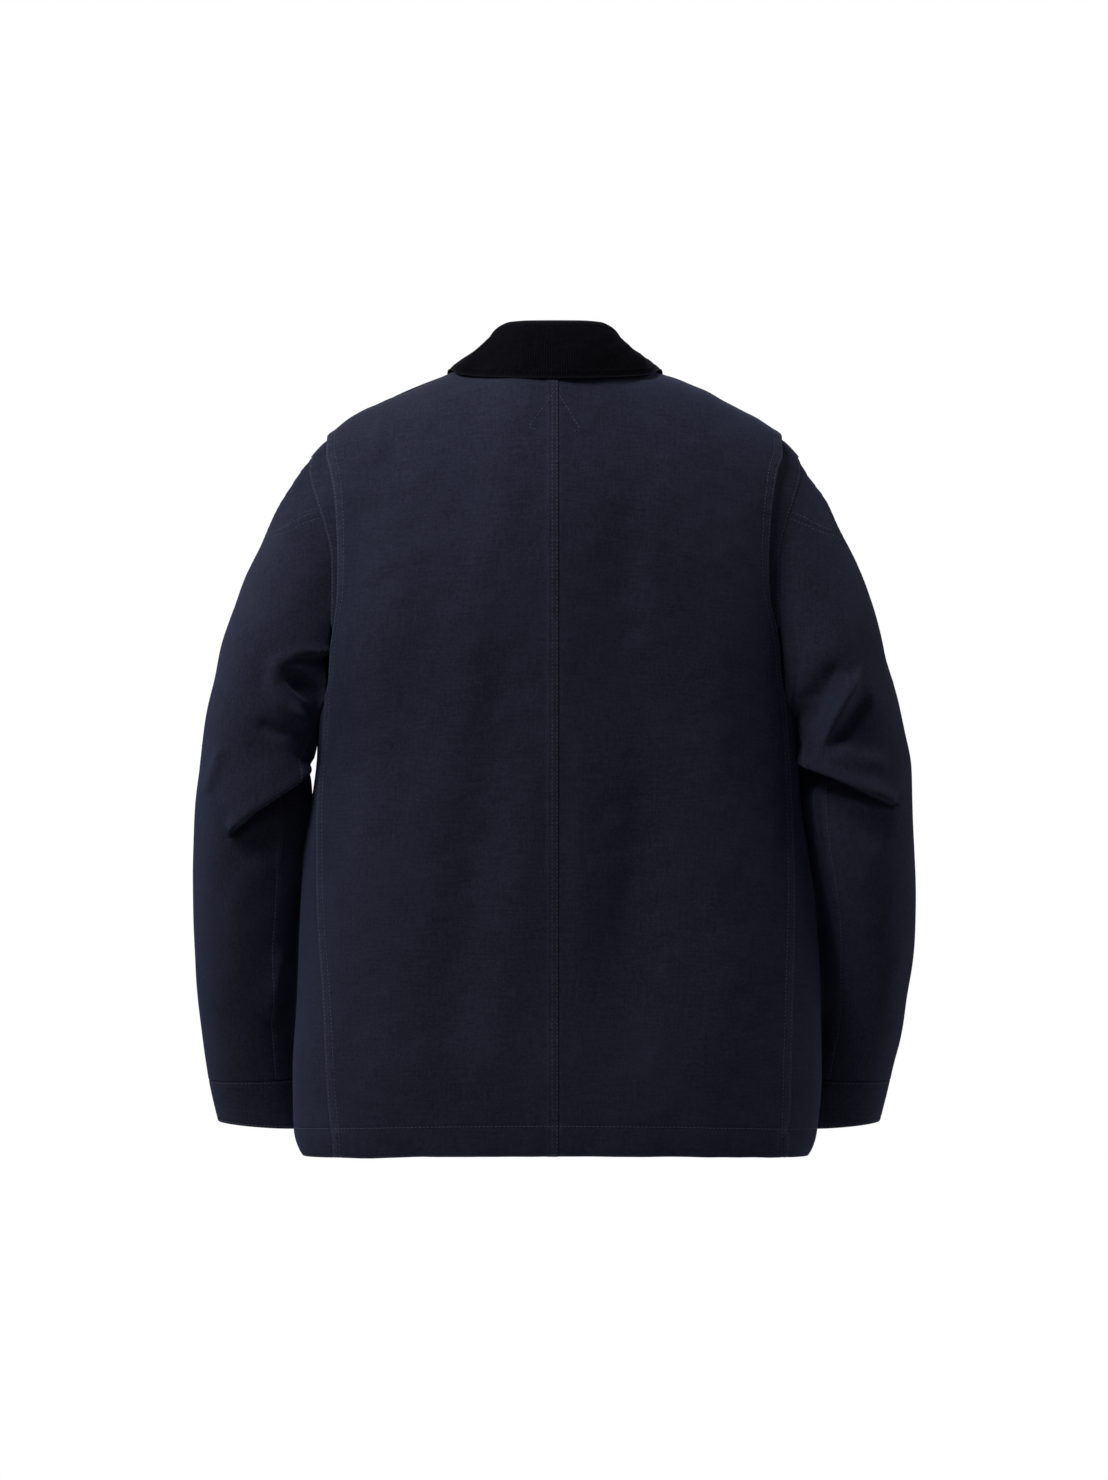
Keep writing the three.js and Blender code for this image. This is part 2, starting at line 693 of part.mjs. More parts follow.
// The height at which the torso passes through a place in plan.
function heightAt(side, x, y) {
  const isFront = y > 0;
  const top = ridge(x);
  const reaches = (drop) => {
    const z = top - drop;
    return Math.abs(torso(side, angleAt(side, x, z, isFront), z).y) > Math.abs(y);
  };
  return top - firstWhere(0, SHOULDER_REACH, reaches);
}

// The collar: along from the left front to the right front, and from the stand's foot over the roll.
function collar() {
  const surface = (u, v) => {
    const turn = mix(-COLLAR_END, COLLAR_END, u);
    const side = turn < 0 ? -1 : 1;
    const plan = Math.abs(turn);
    const reach = plan < 90 ? NECK_BACK : NECK_FRONT;
    const foot = new THREE.Vector3(
      (NECK_HALF_WIDTH - STAND_INSET) * Math.sin(turn * RAD),
      -(reach - STAND_INSET) * Math.cos(turn * RAD),
      0,
    );
    const rim = new THREE.Vector2(NECK_HALF_WIDTH * Math.sin(plan * RAD), -reach * Math.cos(plan * RAD));
    foot.z = heightAt(side, rim.x, rim.y) - STAND_TUCK;
    const middle = new THREE.Vector3(side * COLLAR.rollX(plan), COLLAR.rollY(plan), COLLAR.rollZ(plan));
    middle.z -= ROLL_RADIUS;
    const edgeX = COLLAR.edgeX(plan);
    const edgeY = COLLAR.edgeY(plan);
    const edge = new THREE.Vector3(side * edgeX, edgeY, heightAt(side, edgeX, edgeY));
    const overShoulder = ease(62, 84, plan) * ease(116, 98, plan);
    const lift = FALL_LIFT * (1 + overShoulder) + lapRise(side, side * edgeX);
    edge.addScaledVector(torsoNormal(side, edge), lift);
    const outward = edge.clone().sub(middle).setZ(0).normalize();
    if (v < 0.3) {
      const top = middle.clone().addScaledVector(outward, -ROLL_RADIUS);
      return foot.lerp(top, v / 0.3);
    }
    if (v < 0.5) {
      const bend = (v - 0.3) / 0.2 * Math.PI;
      const p = middle.clone().addScaledVector(outward, -ROLL_RADIUS * Math.cos(bend));
      p.z += ROLL_RADIUS * Math.sin(bend);
      return p;
    }
    const share = (v - 0.5) / 0.5;
    const from = middle.clone().addScaledVector(outward, ROLL_RADIUS);
    const bulge = 4 * share * (1 - share);
    const p = from.lerp(edge, share).addScaledVector(outward, FALL_BULGE * bulge);
    p.z += FALL_BULGE * bulge;
    return p;
  };
  const shape = { thickness: () => COLLAR_WALL };
  const fall = [0.3, 0.35, 0.4, 0.45, 0.5, 0.66, 0.83, 1];
  return [
    wall('collar_stand', corduroy(), surface, range(32), [0, 0.15, STAND_TOP], 1, shape),
    wall('collar_fall', corduroy(), surface, range(32), fall, 1, shape),
  ];
}

for (const side of [-1, 1]) {
  group.add(backPanel(side));
  group.add(gusset(side));
  group.add(frontPanel(side));
  group.add(frontStrip(side));
  group.add(...sleevePieces(side));
  group.add(cuff(side));
  group.add(pocket(side));
  group.add(cuffButton(side));
}
for (let index = 0; index < BUTTON_COUNT; index += 1) {
  group.add(frontButton(index));
}
group.add(...collar());

export default group;
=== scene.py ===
"""Chore jacket seen from behind: a worn, hollow form in brushed canvas with a corduroy collar.

The forms below work in millimetres, as a pattern cutter does, and every mesh is made in metres.
"""
import sys
import logging
import math
from collections.abc import Callable
from dataclasses import dataclass, field
from enum import Enum

import bpy
import numpy as np
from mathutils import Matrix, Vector


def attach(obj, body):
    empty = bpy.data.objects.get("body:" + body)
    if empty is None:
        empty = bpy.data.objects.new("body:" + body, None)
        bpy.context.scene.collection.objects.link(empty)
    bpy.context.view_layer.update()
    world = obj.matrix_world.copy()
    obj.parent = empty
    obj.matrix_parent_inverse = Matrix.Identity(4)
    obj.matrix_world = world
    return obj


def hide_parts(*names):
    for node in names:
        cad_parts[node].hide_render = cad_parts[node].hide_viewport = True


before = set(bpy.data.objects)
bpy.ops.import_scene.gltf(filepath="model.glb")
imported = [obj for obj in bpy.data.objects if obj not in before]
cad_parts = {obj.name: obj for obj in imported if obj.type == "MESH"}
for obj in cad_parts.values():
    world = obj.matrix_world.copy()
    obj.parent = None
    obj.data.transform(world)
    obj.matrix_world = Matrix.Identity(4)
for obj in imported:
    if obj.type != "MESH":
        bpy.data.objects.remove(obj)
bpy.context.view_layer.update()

Array = np.ndarray
LOG = logging.getLogger("chore_jacket")
MM = 0.001


class Side(Enum):
    """The wearer's left is on the -X side and their right on +X."""

    LEFT = -1
    RIGHT = 1

    @property
    def sign(self) -> int:
        """The sign of X on this side."""
        return self.value

    @property
    def word(self) -> str:
        """The side's name as node names spell it."""
        return self.name.lower()


class Run(Enum):
    """Which way a seam row runs on a piece's grid."""

    DOWN = "down"
    ACROSS = "across"


def mix(a: Array, b: Array, t: Array) -> Array:
    """The value a share t of the way from a to b."""
    return a + (b - a) * t


def ease(start: float, end: float, x: Array) -> Array:
    """A smooth step from 0 at start to 1 at end."""
    t = np.clip((x - start) / (end - start), 0, 1)
    return t * t * (3 - 2 * t)


def bump(x: Array, width: float) -> Array:
    """A soft ridge of height 1 at 0 that dies away past width."""
    return np.exp(-2 * (x / width) ** 2)


def unit(v: Array) -> Array:
    """The directions of an array of vectors."""
    return v / np.maximum(np.linalg.norm(v, axis=-1, keepdims=True), 1e-9)


def waves(x: Array, y: Array, size: float, seed: int) -> Array:
    """Uneven smooth waves between about -1 and 1.

    Args:
        x: One coordinate in millimetres.
        y: The other coordinate.
        size: The usual length of a wave in millimetres.
        seed: Picks one set of waves.

    Returns:
        The height of the waves at each place.
    """
    chance = np.random.default_rng(seed)
    total = np.zeros(np.broadcast(x, y).shape)
    for _ in range(7):
        turn, phase = chance.uniform(0, 2 * math.pi, 2)
        count = 2 * math.pi / size * chance.uniform(0.6, 1.5)
        total = total + np.sin(count * (x * math.cos(turn) + y * math.sin(turn)) + phase)
    return total / 3.2


class Knots:
    """Monotone cubic functions of a table's first column, held level past both of its ends."""

    def __init__(self, names: str, rows: list[tuple[float, ...]]) -> None:
        """Keeps the rows and the names of their columns."""
        self.names = names.split()
        self.rows = np.array(rows, dtype=float)

    def at(self, name: str, where: Array) -> Array:
        """The named column's value at each place of the first column.

        Args:
            name: The column.
            where: Places in the first column.

        Returns:
            The values there.
        """
        xs, ys = self.rows[:, 0], self.rows[:, self.names.index(name)]
        slopes = np.diff(ys) / np.diff(xs)
        product = slopes[:-1] * slopes[1:]
        total = np.where(product > 0, slopes[:-1] + slopes[1:], 1)
        inner = np.where(product > 0, 2 * product / total, 0)
        tangents = np.concatenate([slopes[:1], inner, slopes[-1:]])
        at = np.clip(where, xs[0], xs[-1])
        i = np.clip(np.searchsorted(xs, at, side="left") - 1, 0, len(xs) - 2)
        step = xs[i + 1] - xs[i]
        t = (at - xs[i]) / step
        a = (1 + 2 * t) * (1 - t) ** 2 * ys[i] + t * t * (3 - 2 * t) * ys[i + 1]
        return a + step * (t * (1 - t) ** 2 * tangents[i] - t * t * (1 - t) * tangents[i + 1])


BODY = Knots("z left right back front", [
    (-716, 225, 226, 109, 115),
    (-706, 231, 232, 111, 117),
    (-690, 235, 236, 112, 118),
    (-640, 236, 240, 112, 120),
    (-570, 232, 239, 109, 121),
    (-490, 229, 234, 106, 121),
    (-435, 225, 227, 106, 122),
    (-395, 219, 221, 107, 123),
    (-350, 214, 218.5, 109, 124),
    (-300, 213.5, 214.5, 112, 124),
    (-214, 213, 213, 117, 121),
    (-177, 216, 216, 118, 118),
    (-149, 223, 223, 117, 114),
    (-122, 232, 232, 115, 110),
    (-98, 240, 240, 112, 106),
    (-60, 246, 246, 107, 102),
    (60, 246, 246, 104, 96),
])

SEAMS = Knots("z seam_left seam_right fold_left fold_right arm_back arm_front", [
    (-716, 197, 208, 197, 208, 206, 203.5),
    (-640, 203.5, 210, 203.5, 210, 206, 203.5),
    (-570, 207, 212, 207, 212, 206, 203.5),
    (-485, 212.5, 214, 212.5, 214, 206, 203.5),
    (-415, 213.5, 212.5, 213.5, 212.5, 206, 203.5),
    (-376, 211.5, 211, 211.5, 211, 206, 203.5),
    (-330, 207, 208, 207, 208, 206, 203.5),
    (-302, 206, 206, 206, 206, 206, 203.5),
    (-290, 206, 206, 203, 203, 205.5, 203.5),
    (-272, 206, 206, 202, 202, 204.5, 203.5),
    (-258, 206, 206, 201, 201, 203.2, 197.5),
    (-240, 206, 206, 198.5, 198, 201.5, 189),
    (-214, 206, 206, 195, 192, 200, 183),
    (-178, 206, 206, 194, 190.5, 200, 181),
    (-149, 206, 206, 195, 192, 206, 187),
    (-122, 206, 206, 197, 195, 215, 198),
    (-110, 206, 206, 199, 197, 220, 206),
    (-98, 206, 206, 201.5, 199.5, 223, 215),
    (-84, 206, 206, 205, 204, 221, 221),
    (60, 206, 206, 205, 204, 221, 221),
])

SLEEVE = Knots("s out_left out_right out_z in_left in_right in_z middle depth", [
    (0, 222, 222, -86, 213, 214, -302, 14, 62),
    (0.06, 235, 232, -104, 213.7, 215.4, -308, 12, 63),
    (0.12, 251.5, 249.5, -131, 213.9, 216, -314, 10, 65),
    (0.2, 266, 264, -164, 212, 213.4, -322, 7, 65),
    (0.3, 284, 282.5, -208, 212.6, 214.4, -332, 4, 64),
    (0.4, 300, 295, -254, 214.2, 216.4, -345, 3, 63),
    (0.46, 307.5, 303.8, -285, 216.5, 216.9, -355, 3.5, 62),
    (0.5, 312, 309.5, -306, 222, 217.2, -364, 4, 61),
    (0.55, 317, 315.5, -335, 219.5, 218.5, -378, 6, 60),
    (0.6, 321, 320.5, -364, 218.6, 220.2, -394, 8, 59),
    (0.7, 326.5, 324.5, -432, 227, 228.6, -446, 18, 57),
    (0.8, 328, 327, -505, 230.5, 236, -510, 34, 54),
    (0.9, 325, 320.5, -578, 234, 238, -577, 55, 53),
    (1, 317, 307, -650, 230, 228, -648, 76, 51),
    (1.1, 309, 298, -689, 226, 223, -695, 85, 49),
])

SLEEVE_SEAMS = Knots("s outer inner", [
    (0, -42, -176),
    (0.1, -29, -175.5),
    (0.2, -4, -171),
    (0.35, 10, -156),
    (0.6, 14, -135),
    (0.8, 14, -126),
    (1, 14, -121),
])

COLLAR = Knots("angle roll_x roll_y roll_z edge_x edge_y", [
    (0, 0, -57, 31, 0, -80),
    (18, 22, -54, 31, 30, -76),
    (36, 39, -44, 30.5, 55, -62),
    (54, 50, -28, 26, 76, -42),
    (72, 56.5, -8, 17, 89, -16),
    (90, 59.5, 12, 6, 95, 12),
    (108, 60, 32, -12, 93, 38),
    (126, 55, 50, -32, 84, 60),
    (144, 42, 66, -52, 71, 79),
    (162, 22, 78, -67, 54, 92),
])


@dataclass(frozen=True)
class Eye:
    """The photograph's camera: level with the waist and straight behind the centre back."""

    distance: float = 4500
    x: float = -0.9
    z: float = -340.2
    lens: float = 121.6

    def seen(self, p: Array) -> tuple[Array, Array]:
        """Where a point shows on the upright plane through the origin.

        Args:
            p: Points in millimetres.

        Returns:
            Distance out from the centre back, and height.
        """
        scale = self.distance / (self.distance + p[..., 1])
        return np.abs(p[..., 0]) * scale, self.z + (p[..., 2] - self.z) * scale


EYE = Eye()


@dataclass(frozen=True)
class Crease:
    """A soft ridge or trough along a line, as seen from behind or from the front.

    With a lip it is a fold that hangs over its own shadow: the cloth above the line stands out
    by the height, and the cloth below drops in by the lip within a few millimetres.
    """

    path: tuple[tuple[float, float], ...]
    height: float
    width: float
    lip: float = 0
    drop_width: float = 26
    blunt: float = 0.5

    def place(self, x: Array, z: Array) -> tuple[Array, Array, Array]:
        """The nearest place on the line.

        Args:
            x: Distance out from the centre.
            z: Height.

        Returns:
            Distance from the line, share of the way along it, and 1 above it or -1 below.
        """
        ends = np.array(self.path, dtype=float)
        lengths = np.linalg.norm(np.diff(ends, axis=0), axis=1)
        before = np.concatenate([[0], np.cumsum(lengths)])
        best = np.full(x.shape, 1e9)
        share = np.zeros(x.shape)
        above = np.ones(x.shape)
        for i, length in enumerate(lengths):
            dx, dz = (ends[i + 1] - ends[i]) / length
            along = (x - ends[i, 0]) * dx + (z - ends[i, 1]) * dz
            t = np.clip(along, 0, length)
            away = np.hypot(x - ends[i, 0] - t * dx, z - ends[i, 1] - t * dz)
            near = away < best
            cross = (z - ends[i, 1]) * abs(dx) - (x - ends[i, 0]) * dz * np.sign(dx or 1)
            best = np.where(near, away, best)
            share = np.where(near, (before[i] + t) / before[-1], share)
            above = np.where(near, np.where(cross >= 0, 1, -1), above)
        return best, share, above

    def lift(self, x: Array, z: Array) -> Array:
        """How far the cloth stands out at each place.

        Args:
            x: Distance out from the centre.
            z: Height.

        Returns:
            Millimetres out along the normal.
        """
        away, share, above = self.place(x, z)
        taper = 1 - np.abs(2 * share - 1) ** (2 / self.blunt) * 0.85
        ridge = self.height * bump(away, self.width * (0.6 + 0.4 * taper))
        if not self.lip:
            return ridge * taper
        deep = self.lip * (1 - 0.8 * share ** 1.5)
        fall = ease(0, 3.2, away) * np.exp(-(away / (self.drop_width * (1.15 - share))) ** 2)
        below = mix(ridge, -deep, fall) * (1 - ease(0, 3.2, away) + fall)
        return np.where(above > 0, ridge * (1 - ease(0.9, 1, share)), below)


@dataclass(frozen=True)
class TorsoForm:
    """The jacket's body on a general figure, as a rounded ring at each height."""

    squareness: float = 2.25
    hem_z: float = -713
    hem_dip: float = 7
    underarm_z: float = -302
    scoop_angle: float = 112
    scoop_start: float = 84
    scoop_rise: float = 30
    shoulder_reach: float = 290
    neck_half_width: float = 78
    neck_back: float = 62
    neck_front: float = 80
    ridge_z: float = -5
    neck_rise: float = 33
    slope: float = 0.3
    droop: float = 0.0014
    tip: float = 200
    tip_droop: float = 0.012
    tip_step: float = 3.5
    back_round: float = 2.5
    front_round: float = 1.75
    seam_gap: float = 0.1

    def ridge(self, x: Array) -> Array:
        """Height of the shoulder line at a distance from the centre.

        Args:
            x: Distance from the centre.

        Returns:
            Heights.
        """
        d = np.abs(x) - self.neck_half_width
        tip = np.maximum(0, np.abs(x) - self.tip)
        outer = self.ridge_z - self.slope * d - self.droop * d * d - self.tip_droop * tip * tip
        share = 1 - (x / self.neck_half_width) ** 2
        inner = self.ridge_z + self.slope * self.neck_half_width / 2 * share
        return np.where(d > 0, outer, inner + self.neck_rise * share ** 2)

    def half_width(self, side: Side, z: Array) -> Array:
        """Half the body's width on one side."""
        return BODY.at(side.word, z)

    def point(self, side: Side, angle: Array, z: Array) -> Array:
        """Points of the body at angles from the centre back, where pi is the centre front.

        Args:
            side: The side of the jacket.
            angle: Angles in radians from the centre back.
            z: Heights.

        Returns:
            Points in millimetres.
        """
        sine, cosine = np.sin(angle), np.cos(angle)
        power = self.squareness
        scale = (np.abs(sine) ** power + np.abs(cosine) ** power) ** (-1 / power)
        x = self.half_width(side, z) * sine * scale
        drop = np.clip((self.ridge(x) - z) / self.shoulder_reach, 0, 1)
        curve = np.where(cosine > 0, self.back_round, self.front_round)
        rounded = (1 - (1 - drop) ** curve) ** (1 / curve)
        depth = np.where(cosine > 0, BODY.at("back", z), BODY.at("front", z))
        return np.stack([side.sign * x, -depth * cosine * scale * rounded, z + 0 * x], axis=-1)

    def angle_at(self, side: Side, x: Array, z: Array, is_front: Array) -> Array:
        """The angle at which the body is a distance x from the centre.

        Args:
            side: The side of the jacket.
            x: Distance from the centre.
            z: Height.
            is_front: Whether the place is on the front half.

        Returns:
            Angles in radians from the centre back.
        """
        r = np.clip(np.abs(x) / self.half_width(side, z), 0, 0.9999)
        angle = np.arctan2(r, (1 - r ** self.squareness) ** (1 / self.squareness))
        turned = np.where(is_front, math.pi - angle, angle)
        return np.where(np.asarray(x) < 0, 2 * math.pi - turned, turned)

    def hem(self, angle: Array) -> Array:
        """Height of the hem."""
        return self.hem_z + self.hem_dip * np.maximum(0, np.cos(angle)) ** 2

    def scoop(self, angle: Array) -> Array:
        """Height of the armhole's bottom.

        Args:
            angle: Angles in radians from the centre back.

        Returns:
            Heights.
        """
        reach = self.scoop_angle - self.scoop_start
        share = np.clip((np.degrees(angle) - self.scoop_start) / reach, 0, 1)
        return self.underarm_z + self.scoop_rise * share ** 2

    def normal(self, side: Side, p: Array) -> Array:
        """Outward directions at points of the body.

        Args:
            side: The side of the jacket.
            p: Points of the body.

        Returns:
            Unit vectors.
        """
        z = np.minimum(p[..., 2], self.ridge(p[..., 0]) - 0.4)
        angle = self.angle_at(side, side.sign * p[..., 0], z, p[..., 1] > 0)
        along = self.point(side, angle + 0.01, z) - self.point(side, angle - 0.01, z)
        up = self.point(side, angle, z + 0.3) - self.point(side, angle, z - 0.3)
        return unit(np.cross(along, up) * side.sign)

    def settle(self, side: Side, angle_of: Callable[[Array], Array], v: Array) -> Array:
        """Points a share v of the way from the hem to the shoulder line.

        Args:
            side: The side of the body.
            angle_of: The angle of each column at given heights.
            v: The share for each point.

        Returns:
            The points.
        """
        z = mix(self.hem_z, -40.0, v)
        for _ in range(10):
            angle = angle_of(z)
            z = mix(self.hem(angle), self.ridge(self.point(side, angle, z)[..., 0]), v)
        return self.point(side, angle_of(z), z)

    def in_neck(self, p: Array) -> Array:
        """Whether points lie over the neck hole."""
        reach = np.where(p[..., 1] < 0, self.neck_back, self.neck_front)
        return (p[..., 0] / self.neck_half_width) ** 2 + (p[..., 1] / reach) ** 2 < 1

    def tops(self, side: Side, angle_of: Callable[[Array], Array], like: Array) -> Array:
        """The share at which each column ends, at the shoulder line or at the neck's edge.

        Args:
            side: The side of the jacket.
            angle_of: Gives the angles of the columns at a share.
            like: An array of the shape wanted.

        Returns:
            Shares from 0 to 1.
        """
        low, high = np.full(like.shape, 0.6), np.ones(like.shape)
        runs_in = self.in_neck(self.settle(side, angle_of, high))
        for _ in range(24):
            middle = (low + high) / 2
            inside = self.in_neck(self.settle(side, angle_of, middle))
            high, low = np.where(inside, middle, high), np.where(inside, low, middle)
        return np.where(runs_in, high, 1.0)

    def height_at(self, side: Side, x: Array, y: Array) -> Array:
        """Height at which the body passes through a place in plan.

        Args:
            side: The side of the jacket.
            x: Distance from the centre.
            y: Place from back to front.

        Returns:
            Heights.
        """
        top = self.ridge(x)
        low, high = np.zeros(x.shape), np.full(x.shape, self.shoulder_reach)
        for _ in range(24):
            drop = (low + high) / 2
            z = top - drop
            at = self.point(side, self.angle_at(side, x, z, y > 0), z)
            reaches = np.abs(at[..., 1]) > np.abs(y)
            high, low = np.where(reaches, drop, high), np.where(reaches, low, drop)
        return top - high

    def step_down(self, p: Array) -> Array:
        """How far the pieces beside the back panel's shoulder corner lie below it."""
        out = ease(self.tip - 14, self.tip + 4, np.abs(p[..., 0]))
        return self.tip_step * out * ease(-130, -96, p[..., 2])


TORSO = TorsoForm()


def lap_rise(side: Side, x: Array) -> Array:
    """How far the left front stands out where it laps over the right one."""
    return 4.4 * ease(-58, -24, x) if side is Side.LEFT else 0 * x


@dataclass
class SleeveForm:
    """One sleeve: rings down the arm that start on the armhole."""

    side: Side
    gap: float = -1.2

    def __post_init__(self) -> None:
        """Works out the armhole once."""
        self.runs = {front: self.armhole(front) for front in (False, True)}

    def armhole(self, front: bool) -> tuple[Array, Array]:
        """The armhole from the shoulder to its bottom.

        Args:
            front: Whether over the front of the arm or over its back.

        Returns:
            The share of the length at each point, and the points.
        """
        top = TORSO.ridge(np.array(221.0)) - 0.4
        low = TORSO.underarm_z + (TORSO.scoop_rise if front else 0)
        step = np.linspace(0, 1, 400)
        z = mix(top, low, 1 - (1 - step) ** 2 * 0.5 - (1 - step) * 0.5)
        x = SEAMS.at("arm_front" if front else "arm_back", z)
        path = TORSO.point(self.side, TORSO.angle_at(self.side, x, z, front), z)
        path -= TORSO.normal(self.side, path) * TORSO.step_down(path)[..., None]
        start = math.radians(TORSO.scoop_angle)
        if not front:
            here = np.array(TORSO.underarm_z)
            start = float(TORSO.angle_at(self.side, SEAMS.at("arm_back", here), here, False))
        angle = np.linspace(start, math.radians(89), 80)[1:]
        path = np.concatenate([path, TORSO.point(self.side, angle, TORSO.scoop(angle))])
        length = np.concatenate([[0], np.cumsum(np.linalg.norm(np.diff(path, axis=0), axis=1))])
        return length / length[-1], path

    def ring(self, angle: Array, s: Array) -> Array:
        """Points of the sleeve's own rings.

        Args:
            angle: Angles in degrees round the arm.
            s: Share down the arm, from 0 to 1.

        Returns:
            Points in millimetres.
        """
        word = self.side.word
        share = (1 + np.cos(np.radians(angle))) / 2
        x = mix(SLEEVE.at(f"in_{word}", s), SLEEVE.at(f"out_{word}", s), share)
        z = mix(SLEEVE.at("in_z", s), SLEEVE.at("out_z", s), share)
        y = SLEEVE.at("middle", s) + SLEEVE.at("depth", s) * np.sin(np.radians(angle))
        return np.stack([self.side.sign * x, y, z], axis=-1)

    def point(self, angle: Array, s: Array) -> Array:
        """Points at angles in degrees from the outer edge over the front, down the arm from 0.

        Args:
            angle: Angles in degrees round the arm.
            s: Share down the arm, from 0 to 1.

        Returns:
            Points in millimetres.
        """
        turn = (angle + 540) % 360 - 180
        start = np.zeros(turn.shape + (3,))
        for front, (share, path) in self.runs.items():
            here = [np.interp(np.abs(turn) / 180, share, path[:, k]) for k in range(3)]
            start = np.where(((turn >= 0) == front)[..., None], np.stack(here, axis=-1), start)
        start[..., 0] += self.side.sign * self.gap
        start[..., 2] += self.gap * ease(95, 140, np.abs(turn))
        fade = (1 - ease(0, 0.3, s))[..., None]
        return self.ring(angle, s) + (start - self.ring(angle, 0 * s)) * fade

    def normal(self, angle: Array, s: Array) -> Array:
        """Outward directions of the sleeve.

        Args:
            angle: Angles in degrees round the arm.
            s: Share down the arm, from 0 to 1.

        Returns:
            Unit vectors.
        """
        s = np.clip(s, 0.002, 1.098)
        along = self.point(angle + 0.6, s) - self.point(angle - 0.6, s)
        down = self.point(angle, s + 0.002) - self.point(angle, s - 0.002)
        return unit(np.cross(along, down) * -self.side.sign)


SLEEVES = {side: SleeveForm(side) for side in Side}


